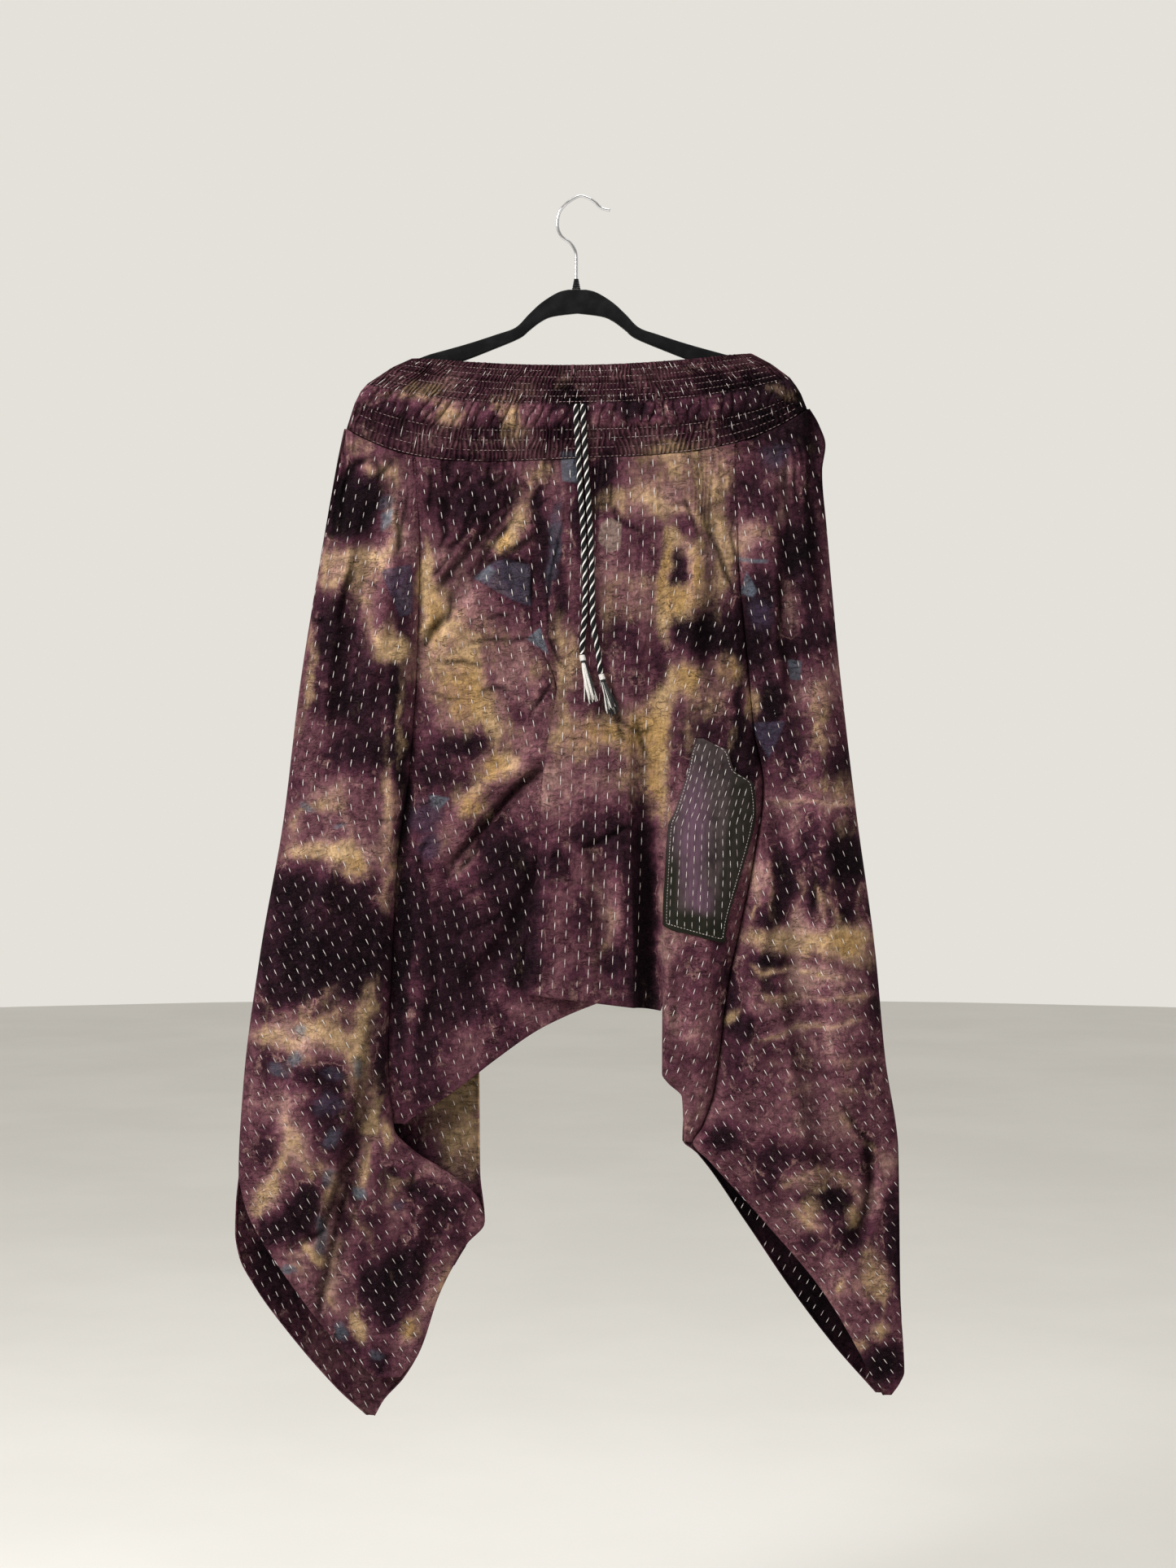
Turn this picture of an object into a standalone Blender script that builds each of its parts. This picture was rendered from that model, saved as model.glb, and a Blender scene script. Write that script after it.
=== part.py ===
"""Harem pants with a shirred yoke, hung by the waist on a slim velvet hanger.

The front faces -Y, +X is the viewer's right and +Z is up. The origin is the inner top of the
hanger's hook. Every table is in millimetres, and the objects are made in metres.
"""
import math

import bmesh
import bpy
from mathutils import Vector

MM = 0.001

# Driving sizes, in millimetres
SEAM_GAP = 0.3
RIM_TURN = 0.9
WALL = 1.8
YOKE_WALL = 1.3
GATHER_RELIEF = 1.9
VALLEY_SHARE = 0.12
GATHERS = 54
HEM_TURN = 1.6
PANEL_GATHER = 1.0
BLEND_END = -416.0
PLEAT_SPLIT = -808.0
PLEAT_TOP = -430.0
C1_END = -932.0
PATCH_WALL = 1.3
PATCH_LIFT = 0.95
HANGER_THICKNESS = 5.5
HANGER_CENTRE = -3.0
HOOK_WIRE = 3.2
COLLAR_RADIUS = 4.2
CORD_DIAMETER = 5.4
TASSEL_HEAD = 9.0
TASSEL_GAP = 1.2
TASSEL_RADIUS = 3.3
TASSEL_STRANDS = 4
FRONT = -1
BACK = 1

# Rows of the gathered waist: left end x and z, z at the middle, right end x and z,
# how fast the row leaves its ends, depth at the middle
TOP_EDGE = (-171, -162, -171, 174, -157, 2.0, 14.0)
CASING_SEAM = (-190, -170.5, -188, 193, -167, 2.4, 15.0)
UPPER_ELASTIC = (-215, -187, -208, 212, -181, 2.8, 15.5)
CHANNEL = (-222, -195, -222, 218, -189, 3.2, 17.5)
LOWER_ELASTIC = (-228, -207, -236, 223, -197, 3.5, 16.0)
YOKE_HEM = (-236, -232, -265, 229, -212, 4.0, 17.0)

# Outlines and fold lines of the panels: z, x
SIDE_LEFT = ((-232, -236), (-268, -244), (-367, -262), (-498, -283), (-629, -299),
             (-760, -322), (-891, -339), (-982, -344))
SIDE_RIGHT = ((-212, 229), (-229, 239), (-250, 246), (-275, 243), (-334, 248), (-465, 260),
              (-613, 277), (-760, 297), (-867, 307), (-961, 320), (-1102, 322), (-1182, 326),
              (-1194, 321), (-1205, 313))
HEM_LEFT_FRONT = ((-982, -344), (-1008, -339), (-1035, -328), (-1082, -298), (-1152, -244),
                  (-1187, -206))
HEM_LEFT_BACK = ((-982, -344), (-1018, -348), (-1043, -349), (-1068, -345), (-1100, -328),
                 (-1141, -298), (-1203, -244), (-1228, -216))
VALLEY_LEFT = ((-260, -167), (-344, -161), (-465, -164), (-572, -171), (-672, -184),
               (-789, -190), (-859, -193), (-937, -187))
FLAP_LEFT = ((-937, -187), (-959, -167), (-981, -132), (-1008, -102), (-1032, -96))
INSEAM_LEFT = ((-1032, -96), (-1054, -114), (-1103, -141), (-1165, -163), (-1187, -181))
BACK_VALLEY_LEFT = ((-260, -167), (-375, -170), (-539, -172), (-662, -168), (-744, -154),
                    (-810, -121), (-842, -109))
OPENING_LEFT = ((-842, -109), (-875, -102), (-982, -101), (-1032, -96))
BACK_TIP_LEFT = ((-1165, -163), (-1190, -178), (-1212, -198), (-1228, -207))
PLEAT_BEHIND = ((-260, -48), (-430, -49), (-485, -26), (-588, -11), (-736, 6), (-808, 24))
CROTCH_LEFT = ((-808, 24), (-822, -11), (-838, -43), (-866, -83), (-902, -130), (-932, -178))
PLEAT_EDGE = ((-260, -16), (-391, -20), (-485, -22), (-588, -34), (-670, -39), (-793, -52),
              (-808, -52))
PLEAT_RIGHT = ((-260, 70), (-350, 74), (-430, 68), (-500, 54), (-600, 50), (-700, 52),
               (-808, 54))
PANEL_FOLD = ((-260, 92), (-350, 96), (-430, 93), (-500, 88), (-617, 87), (-703, 83),
              (-882, 82), (-891, 88), (-905, 102), (-950, 104))
VALLEY_RIGHT = ((-260, 156), (-366, 159), (-465, 168), (-540, 175), (-592, 184), (-663, 175),
                (-733, 161), (-789, 149), (-895, 135), (-936, 122), (-951, 113))
HEM_RIGHT_FRONT = ((-951, 113), (-970, 130), (-1027, 182), (-1097, 241), (-1154, 276),
                   (-1191, 295), (-1205, 304))
BACK_VALLEY_RIGHT = ((-260, 156), (-375, 158), (-539, 160), (-662, 153), (-744, 141),
                     (-810, 121), (-867, 109))
HEM_RIGHT_BACK = ((-867, 109), (-902, 106), (-951, 103), (-963, 117), (-1032, 166),
                  (-1100, 212), (-1159, 257), (-1205, 298))
BACK_BOTTOM = ((-110, -841), (-60, -832), (0, -812), (40, -806), (82, -814), (115, -841))

# Whole edges of the panels, from the outlines above
LEFT_OUTER = SIDE_LEFT + HEM_LEFT_FRONT[1:]
LEFT_INNER = VALLEY_LEFT + FLAP_LEFT[1:] + INSEAM_LEFT[1:]
LEFT_BACK_OUTER = SIDE_LEFT + HEM_LEFT_BACK[1:]
LEFT_BACK_INNER = (BACK_VALLEY_LEFT + OPENING_LEFT[1:] + INSEAM_LEFT[1:-1] + BACK_TIP_LEFT[1:])
RIGHT_INNER = VALLEY_RIGHT + HEM_RIGHT_FRONT[1:]
RIGHT_BACK_INNER = BACK_VALLEY_RIGHT + HEM_RIGHT_BACK[1:]

# Depth of each panel: z, depth at its left edge, fullness at its middle, depth at its right edge
LEFT_FRONT_DEPTH = ((-260, 0, 22, 12), (-416, 0, 27, 6), (-620, 0, 30, 5), (-937, 0, 27, 5),
                    (-985, 1, 19, 8), (-1035, 9, 12, 4), (-1060, 9, 11, 1), (-1110, 9, 10, 2.4),
                    (-1187, 8, 7, 4))
RIGHT_FRONT_DEPTH = ((-260, 12, 22, 0), (-416, 6, 26, 0), (-620, 5, 30, 0), (-937, 5, 26, 0),
                     (-990, 9, 17, 0), (-1100, 9, 12, 0), (-1150, 8, 10, 2), (-1205, 6, 6, 4.5))
BELLY_DEPTH = ((-260, 12, 18, 19), (-416, 6, 20, 20), (-560, 5, 19, 15), (-700, 5, 18, 14),
               (-808, 5, 14, 13), (-870, 5, 11, 9), (-932, 5, 5, 6))
PLEAT_DEPTH = ((-260, 19, 19, 19), (-416, 23, 23, 22), (-560, 26, 27, 24), (-700, 26, 28, 24),
               (-808, 24, 25, 20))
BELLY_RIGHT_DEPTH = ((-260, 19, 20, 12), (-416, 21, 24, 6), (-620, 20, 29, 5),
                     (-808, 14, 27, 5), (-900, 8, 20, 5), (-950, 8, 8, 5))
BACK_DEPTH = ((-260, 8, 17, 8), (-500, 6, 18, 6), (-870, 6, 15, 6))
LEFT_BACK_DEPTH = ((-260, 0, 17, 8), (-500, 0, 19, 6), (-842, 0, 16, 7), (-985, 1, 12, 9),
                   (-1035, 9, 12, 4), (-1060, 9, 11, 1), (-1120, 8, 10, 2.4), (-1228, 7, 7, 4))
RIGHT_BACK_DEPTH = ((-260, 8, 17, 0), (-500, 6, 19, 0), (-867, 8, 15, 0), (-951, 9, 12, 0),
                    (-1100, 9, 11, 0), (-1150, 8, 10, 2), (-1205, 6, 6, 4.5))

# Largest folds: panel, half width, height (a trough is below 0), then their x and z
FOLDS = (
    ("left_leg_front", 20, -9, ((-200, -818), (-211, -907), (-234, -970), (-263, -1125))),
    ("left_leg_front", 17, 6, ((-236, -640), (-262, -720), (-270, -860), (-300, -960))),
    ("left_leg_front", 14, -6, ((-210, -300), (-222, -380), (-238, -470), (-246, -560))),
    ("left_leg_front", 13, 5, ((-185, -310), (-196, -420), (-214, -520))),
    ("right_leg_front", 14, -7, ((199, -262), (206, -350), (207, -445), (214, -540))),
    ("right_leg_front", 13, -5, ((236, -275), (236, -350), (240, -420))),
    ("right_leg_front", 18, 6, ((232, -500), (238, -640), (250, -800), (262, -900))),
    ("right_leg_front", 15, -6, ((205, -700), (212, -820), (232, -930), (252, -1010))),
    ("right_leg_front", 12, -5, ((288, -945), (290, -1008), (262, -1072))),
    ("belly", 15, 6, ((-34, -556), (-65, -578), (-100, -599), (-134, -640))),
    ("belly", 16, -7, ((-34, -570), (-60, -590), (-92, -628), (-138, -690))),
    ("belly", 12, -4, ((-60, -282), (-92, -340), (-140, -420))),
    ("belly", 12, 4, ((-60, -330), (-100, -400), (-150, -470))),
    ("belly", 14, -5, ((-30, -650), (-70, -740), (-120, -800))),
    ("belly_right", 14, -5, ((128, -290), (130, -400), (124, -500))),
    ("belly_right", 18, 3, ((134, -700), (120, -780), (108, -860))),
    ("pleat", 13, -5, ((10, -640), (18, -700), (24, -800))),
    ("left_leg_back", 20, 6, ((-215, -330), (-235, -560), (-262, -800), (-280, -1000))),
    ("left_leg_back", 16, -5, ((-190, -420), (-205, -640), (-200, -860))),
    ("centre_back", 24, 5, ((-90, -310), (-80, -520), (-50, -740))),
    ("centre_back", 18, -6, ((-20, -300), (-10, -500), (20, -720))),
    ("centre_back", 22, 5, ((70, -330), (80, -540), (70, -760))),
    ("right_leg_back", 18, 6, ((205, -330), (222, -560), (236, -800), (270, -1000))),
    ("right_leg_back", 15, -5, ((180, -460), (190, -700), (196, -900))),
)

# Outline of the patch: z, left x, right x
PATCH = ((-547, 116, 122), (-558, 110, 143), (-577, 106, 152), (-591, 102, 168), (-620, 95, 168),
         (-640, 91, 164), (-700, 90, 151), (-724, 90, 146), (-734, 100, 143),
         (-741, 114, 141))

# Hanger between its neck and the waist: x from the centre line, z
HANGER_NECK_TOP = ((9, -93), (20, -96), (36, -106), (49, -118), (62, -131), (81, -138),
                   (112, -148), (148, -158))
HANGER_UNDER = ((216, -203), (203, -198), (185, -190), (165, -182), (146, -175), (115, -165),
                (84, -153), (58, -142), (48, -134), (36, -125), (24, -120), (0, -117))

# Wire hook: x, z
HOOK_ROUTE = ((-4, -92.7), (-4, -76), (-4, -62), (-5, -54), (-10, -46), (-18, -40), (-22, -33),
              (-23, -25), (-21, -15), (-16, -8), (-9, -2.5), (0, 1.6), (9, -1.0), (15, -5),
              (21, -10.5), (30, -13))

# Free ends of the drawstring, from the buttonhole down: x, y, z
CORD_LEFT = ((-4, -22.2, -212), (-4, -22.3, -226), (-3, -21.4, -243), (-1.8, -21.2, -262),
             (-0.3, -21.9, -292), (2.2, -23.0, -325), (4.0, -24.4, -362), (5.0, -26.0, -400),
             (3.8, -27.1, -430), (1.5, -28.0, -462))
CORD_RIGHT = ((2.6, -22.2, -212), (3.2, -22.3, -226), (4.2, -21.4, -243), (5.2, -21.4, -262),
              (7.2, -22.1, -292), (9.3, -23.1, -325), (11.2, -24.5, -362), (12.0, -26.1, -400),
              (12.9, -27.0, -430), (17.2, -27.8, -456), (20.5, -28.3, -481))
# Where each tassel's skirt ends: x, y, z
TASSEL_LEFT = (13, -31.5, -511)
TASSEL_RIGHT = (34, -31.7, -524)


def through(points, at, column=1):
    """Value of a smooth curve through a table's rows, read at a height."""
    rows = sorted(points)
    if at <= rows[0][0]:
        return rows[0][column]
    if at >= rows[-1][0]:
        return rows[-1][column]
    index = max(i for i in range(len(rows) - 1) if rows[i][0] <= at)
    steps = [rows[i + 1][0] - rows[i][0] for i in range(len(rows) - 1)]
    rises = [(rows[i + 1][column] - rows[i][column]) / steps[i] for i in range(len(steps))]

    def slope(i):
        if i == 0 or i == len(rows) - 1:
            return rises[min(i, len(rises) - 1)]
        if rises[i - 1] * rises[i] <= 0:
            return 0.0
        return 2 * rises[i - 1] * rises[i] / (rises[i - 1] + rises[i])

    step = steps[index]
    t = (at - rows[index][0]) / step
    start, end = rows[index][column], rows[index + 1][column]
    return ((2 * t ** 3 - 3 * t ** 2 + 1) * start + (t ** 3 - 2 * t ** 2 + t) * step * slope(index)
            + (3 * t ** 2 - 2 * t ** 3) * end + (t ** 3 - t ** 2) * step * slope(index + 1))


def mix(a, b, t):
    return a + (b - a) * t


def ease(t):
    t = min(max(t, 0.0), 1.0)
    return t * t * (3 - 2 * t)


def spread(t):
    """Even steps pushed towards both ends, where a section turns round."""
    return (1 - math.cos(math.pi * t)) / 2


def arch(t, power):
    """Height of a rounded section: 0 at both ends and 1 at the middle."""
    return max(0.0, 1 - abs(2 * t - 1) ** power) ** (1 / power)


def ladder(*stops):
    """Levels from one height to the next, each stop with its number of steps."""
    levels = [stops[0][0]]
    for level, count in stops[1:]:
        last = levels[-1]
        levels += [mix(last, level, (i + 1) / count) for i in range(count)]
    return levels


def material(name, colour, roughness, metallic=0.0):
    made = bpy.data.materials.new(name)
    made.use_nodes = True
    shader = made.node_tree.nodes["Principled BSDF"]
    shader.inputs["Base Color"].default_value = (*colour, 1.0)
    shader.inputs["Roughness"].default_value = roughness
    shader.inputs["Metallic"].default_value = metallic
    return made


def add_object(name, bm, finish):
    mesh = bpy.data.meshes.new(name)
    bm.to_mesh(mesh)
    bm.free()
    mesh.materials.append(finish)
    mesh.shade_smooth()
    obj = bpy.data.objects.new(name, mesh)
    bpy.context.collection.objects.link(obj)
    return obj


def cloth(name, rows, wall, finish, keep=None, relief=None, side=FRONT):
    """A wall of cloth on a grid of points, thickened inwards, or outwards where it has relief."""
    bm = bmesh.new()
    count_x, count_z = len(rows[0]) - 1, len(rows) - 1
    bmesh.ops.create_grid(bm, x_segments=count_x, y_segments=count_z, size=1)
    bm.verts.ensure_lookup_table()
    place = {}
    for vert in bm.verts:
        column = round((vert.co.x + 1) / 2 * count_x)
        row = round((1 - vert.co.y) / 2 * count_z)
        place[vert.index] = (row, column)
    for vert in bm.verts:
        row, column = place[vert.index]
        vert.co = Vector(rows[row][column]) * MM
    if keep:
        lost = []
        for face in bm.faces:
            spots = [place[vert.index] for vert in face.verts]
            if not keep(*(sum(spot[axis] for spot in spots) / len(spots) for axis in (0, 1))):
                lost.append(face)
        bmesh.ops.delete(bm, geom=lost, context="FACES")
    if side == BACK:
        bmesh.ops.reverse_faces(bm, faces=bm.faces)
    if relief:
        weights = {vert.index: relief(*place[vert.index]) for vert in bm.verts}
    obj = add_object(name, bm, finish)
    shell = obj.modifiers.new("Wall", "SOLIDIFY")
    shell.thickness = (wall + (GATHER_RELIEF if relief else 0)) * MM
    shell.offset = 1.0 if relief else -1.0
    shell.use_even_offset = False
    if relief:
        group = obj.vertex_groups.new(name="Relief")
        for index, height in weights.items():
            group.add([index], (wall + height) / (wall + GATHER_RELIEF), "REPLACE")
        shell.vertex_group = group.name
    return obj


def waist_row(row, u):
    """Point of the gathered waist's plain inside: x, depth and z."""
    left_x, left_z, middle_z, right_x, right_z, power, depth = row
    inset = YOKE_WALL * math.sqrt(0.5)
    x = mix(left_x + inset, right_x - inset, u)
    ends = mix(left_z, right_z, u)
    sag = middle_z - (left_z + right_z) / 2
    z = ends - inset * abs(2 * u - 1) ** 8 + sag * (1 - abs(2 * u - 1) ** power)
    return x, (depth - YOKE_WALL) * arch(u, 3), z


def yoke_hem(x):
    """Depth of the outside and height of the yoke's lower edge at one x."""
    u = min(max((x - YOKE_HEM[0]) / (YOKE_HEM[3] - YOKE_HEM[0]), 0.0), 1.0)
    point = waist_row(YOKE_HEM, u)
    return point[1] + YOKE_WALL * 1.2, point[2]


def gathered(name, rows, heights, drop, side, finish):
    """Gathered band: ridges and valleys by turns on its outside, over a plain inside."""
    columns = 2 * GATHERS
    first = 0.004
    inner = [mix(first, 1 - first, i / (columns - 1)) for i in range(columns)]
    places = [0.0, 0.0] + inner + [1.0, 1.0]
    grid = []
    for index, row in enumerate(rows):
        points = []
        for column, u in enumerate(places):
            x, depth, z = waist_row(row, u)
            if column in (0, len(places) - 1):
                depth = SEAM_GAP / 2
            else:
                depth = max(depth, SEAM_GAP / 2 + RIM_TURN)
            points.append((x, side * depth, z - (drop if index == 0 else 0)))
        grid.append(points)

    def relief(row, column):
        ridge = column % 2 and 1 < column < len(places) - 2
        return GATHER_RELIEF * heights[row] * (1.0 if ridge else VALLEY_SHARE)

    return cloth(name, grid, YOKE_WALL, finish, relief=relief, side=side)


def fold_relief(panel, x, z):
    """Height that the large folds of a panel give at one place."""
    total = 0.0
    for owner, width, height, route in FOLDS:
        if owner != panel:
            continue
        best, along = 1e9, 0.0
        for i in range(len(route) - 1):
            (x0, z0), (x1, z1) = route[i], route[i + 1]
            length = (x1 - x0) ** 2 + (z1 - z0) ** 2
            t = min(max(((x - x0) * (x1 - x0) + (z - z0) * (z1 - z0)) / length, 0.0), 1.0)
            away = math.hypot(x - mix(x0, x1, t), z - mix(z0, z1, t))
            if away < best:
                best, along = away, (i + t) / (len(route) - 1)
        if best < width:
            ends = ease(4 * min(along, 1 - along) + 0.2)
            total += height * (1 + math.cos(math.pi * best / width)) / 2 * ends
    return total


def lobe(panel, left, right, depths, z, t):
    """One point of a panel's section: x and depth, t from its left edge to its right."""
    x0, x1 = through(left, z), through(right, z)
    first, middle, last = (through(depths, z, column) for column in (1, 2, 3))
    u = spread(t)
    x = mix(x0, x1, u)
    edge = mix(first, last, u)
    depth = edge + (middle - (first + last) / 2) * arch(u, 2.3)
    inner = ease(6 * u) * ease(6 * (1 - u))
    return x, depth + fold_relief(panel, x, z) * inner


def under_yoke(x, depth, z):
    """Bring a panel's depth to the yoke's lower edge over its top."""
    edge, height = yoke_hem(x)
    return mix(edge, depth, ease((height - z) / (height - BLEND_END)))


def level_of(row_level, top_level, x):
    """Height of a row at one x: rows follow the yoke's lower edge at the top and flatten below."""
    fade = min(max((row_level - BLEND_END) / (top_level - BLEND_END), 0.0), 1.0)
    return row_level + fade * (yoke_hem(x)[1] - SEAM_GAP - 0.3 - top_level)


def gather_height(column, level):
    """Shallow gathers that fan out below the yoke, up and down by turns."""
    return PANEL_GATHER * (1 if column % 2 else -1) * ease((level - BLEND_END + 40) / 160)


def panel_rows(panel, levels, left, right, depths, columns, side, bottom=None):
    """Grid of a leg or a plain panel, with its edges turned in."""
    grid = []
    low = levels[-1]
    for level in levels:
        row = []
        for column in range(columns + 1):
            t = column / columns
            z = level
            for _ in range(8):
                x, depth = lobe(panel, left, right, depths, z, t)
                z = level_of(level, levels[0], x)
                if bottom:
                    z += ease((low + 160 - level) / 160) * (through(bottom, x) - low)
            depth = under_yoke(x, depth, z)
            if 0 < column < columns:
                depth += gather_height(column, level)
            row.append([x, depth, z])
        inset = SEAM_GAP / 2 + (0.3 if bottom else 0)
        row[0][0] += inset
        row[-1][0] -= inset
        for end in (0, -1):
            x, depth, z = row[end]
            row[end][1] = max(depth, SEAM_GAP / 2 + HEM_TURN)
            turned = [x, row[end][1] - HEM_TURN, z]
            row.insert(0, turned) if end == 0 else row.append(turned)
        grid.append([(x, side * depth, z) for x, depth, z in row])
    return grid


def pleat_turn(z, step):
    """The pleat's two turns: five points from the layer behind to the layer in front."""
    behind, edge = through(PLEAT_BEHIND, z), through(PLEAT_EDGE, z)
    start = through(BELLY_DEPTH, z, 3)
    end = through(PLEAT_DEPTH, z, 1)
    folded = ((behind + 3, 0.16), (behind + 2, 0.34), ((behind + edge) / 2, 0.42),
              (edge - 2, 0.52), (edge - 3.5, 0.76))
    k = ease((PLEAT_TOP - 40 - z) / 90)
    x = mix(mix(behind, edge, (step + 1) / 6), folded[step][0], k)
    return x, mix(start, end, mix((step + 1) / 6, folded[step][1], k))


def centre_rows(levels):
    """Grid of the centre front: belly, pleat turn, pleat, valley, right of the belly."""
    belly, pleat, right = 11, 6, 8
    grid = []
    for level in levels:
        row = []
        kinds = ([("belly", i / belly) for i in range(belly + 1)] + [("turn", i) for i in range(5)]
                 + [("pleat", i / pleat) for i in range(pleat + 1)] + [("valley", i) for i in range(3)]
                 + [("belly_right", i / right) for i in range(right + 1)])
        for kind, t in kinds:
            z = level
            for _ in range(8):
                x, depth = centre_point(kind, t, z)
                z = level_of(level, levels[0], x)
                if kind in ("turn", "pleat", "valley"):
                    z -= 0.13 * (x - 2) * ease((-700 - level) / 108)
            depth = under_yoke(x, depth, z)
            row.append([x, depth, z])
        for column in range(1, len(row) - 1):
            row[column][1] += gather_height(column, level)
        row[0][0] += SEAM_GAP / 2
        row[-1][0] -= SEAM_GAP / 2
        row.insert(0, [row[0][0], row[0][1] - HEM_TURN, row[0][2]])
        row.append([row[-1][0], row[-1][1] - HEM_TURN, row[-1][2]])
        grid.append([(x, -depth, z) for x, depth, z in row])
    split = levels.index(PLEAT_SPLIT)
    c1_last = levels.index(C1_END)

    def keep(row, column):
        if row < split:
            return True
        if column < belly + 1:
            return row < c1_last
        return column > belly + 1 + 5 + pleat + 4

    return grid, keep


def centre_point(kind, t, z):
    """One point of the centre front's section: x and depth."""
    behind = PLEAT_BEHIND if z >= PLEAT_SPLIT else CROTCH_LEFT
    if kind == "belly":
        return lobe("belly", LEFT_INNER, behind, BELLY_DEPTH, z, t)
    if kind == "turn":
        return pleat_turn(max(z, PLEAT_SPLIT), t)
    if kind == "pleat":
        return lobe("pleat", PLEAT_EDGE, PLEAT_RIGHT, PLEAT_DEPTH, max(z, PLEAT_SPLIT), t)
    if kind == "belly_right":
        return lobe("belly_right", PANEL_FOLD, RIGHT_INNER, BELLY_RIGHT_DEPTH, z, t)
    x0, x1 = through(PLEAT_RIGHT, z), through(PANEL_FOLD, z)
    place = (0.22, 0.5, 0.8)[t]
    edge = mix(through(PLEAT_DEPTH, z, 3), through(BELLY_RIGHT_DEPTH, z, 1), place)
    floor = mix(edge - 3, 5.0, ease((-480 - z) / 260))
    return mix(x0, x1, place), mix(edge, floor, (0.75, 1.0, 0.8)[t])


def build_cloth(finishes):
    seam = (TOP_EDGE, CASING_SEAM)
    yoke = (CASING_SEAM, UPPER_ELASTIC, CHANNEL, LOWER_ELASTIC, YOKE_HEM)
    for side, word in ((FRONT, "front"), (BACK, "back")):
        gathered("waist_casing_" + word, seam, (0.9, 0.5), 0.0, side, finishes["yoke"])
        gathered("yoke_" + word, yoke, (0.5, 0.45, 1.0, 0.5, 0.6), SEAM_GAP + 0.1, side,
                 finishes["yoke"])

    front = ladder((-260, 0), (BLEND_END, 3), (-560, 3), (PLEAT_SPLIT, 5), (-838, 2), (-902, 3),
                   (C1_END, 1), (-950, 1))
    back = ladder((-260, 0), (BLEND_END, 3), (-842, 7))
    levels = front[:-1] + ladder((-944, 0), (-1032, 4), (-1187, 4))
    cloth("left_leg_front",
          panel_rows("left_leg_front", levels, LEFT_OUTER, LEFT_INNER, LEFT_FRONT_DEPTH, 11, FRONT),
          WALL, finishes["kantha"])
    levels = front + ladder((-950, 0), (-1205, 7))[1:]
    cloth("right_leg_front",
          panel_rows("right_leg_front", levels, RIGHT_INNER, SIDE_RIGHT, RIGHT_FRONT_DEPTH, 10,
                     FRONT),
          WALL, finishes["kantha"])
    grid, keep = centre_rows(front)
    cloth("centre_front", grid, WALL, finishes["kantha"], keep=keep)
    build_patch(grid, finishes["patch"])

    levels = back + ladder((-842, 0), (-1032, 4), (-1228, 6))[1:]
    cloth("left_leg_back",
          panel_rows("left_leg_back", levels, LEFT_BACK_OUTER, LEFT_BACK_INNER, LEFT_BACK_DEPTH, 9,
                     BACK),
          WALL, finishes["kantha"], side=BACK)
    levels = back + ladder((-842, 0), (-867, 1), (-951, 2), (-1205, 6))[1:]
    cloth("right_leg_back",
          panel_rows("right_leg_back", levels, RIGHT_BACK_INNER, SIDE_RIGHT, RIGHT_BACK_DEPTH, 9,
                     BACK),
          WALL, finishes["kantha"], side=BACK)
    cloth("centre_back",
          panel_rows("centre_back", back, LEFT_BACK_INNER, RIGHT_BACK_INNER, BACK_DEPTH, 14,
                     BACK, bottom=BACK_BOTTOM),
          WALL, finishes["kantha"], side=BACK)


def depth_on(grid, x, z):
    """Depth of the outside of a panel's grid at one place, below its gathered top."""
    row = max(i for i in range(len(grid) - 1) if grid[i][-1][2] >= z)
    depths = []
    for points in (grid[row], grid[row + 1]):
        column = max(i for i in range(len(points) - 1) if points[i][0] <= x)
        (x0, y0, _), (x1, y1, _) = points[column], points[column + 1]
        depths.append(-mix(y0, y1, (x - x0) / (x1 - x0)))
    return mix(*depths, (z - grid[row][-1][2]) / (grid[row + 1][-1][2] - grid[row][-1][2]))


def build_patch(panel, finish):
    """The patch on the right of the belly, made from the panel's own points, moved out."""
    columns = 14
    rows = []
    top, bottom = PATCH[0][0], PATCH[-1][0]
    heights = {z for z, _, _ in PATCH} | {row[-1][2] for row in panel if bottom < row[-1][2] < top}
    for z in sorted(heights, reverse=True):
        left, right = through(PATCH, z), through(PATCH, z, 2)
        row = []
        for column in range(columns + 1):
            x = mix(left, right, column / columns)
            depth = depth_on(panel, x, z)
            out = Vector((depth - depth_on(panel, x + 1, z), -1, depth - depth_on(panel, x, z + 1)))
            out.length = PATCH_LIFT + PATCH_WALL
            row.append(Vector((x, -depth, z)) + out)
        rows.append(row)
    cloth("patch", rows, PATCH_WALL, finish)


def arm_end(row, side):
    """Top of a hanger arm under one row's end, just inside the cloth."""
    inset = YOKE_WALL + SEAM_GAP + 0.3
    x, z = (row[0], row[1]) if side < 0 else (row[3], row[4])
    return x - side * inset * math.sqrt(0.5), z - inset * math.sqrt(0.5)


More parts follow.
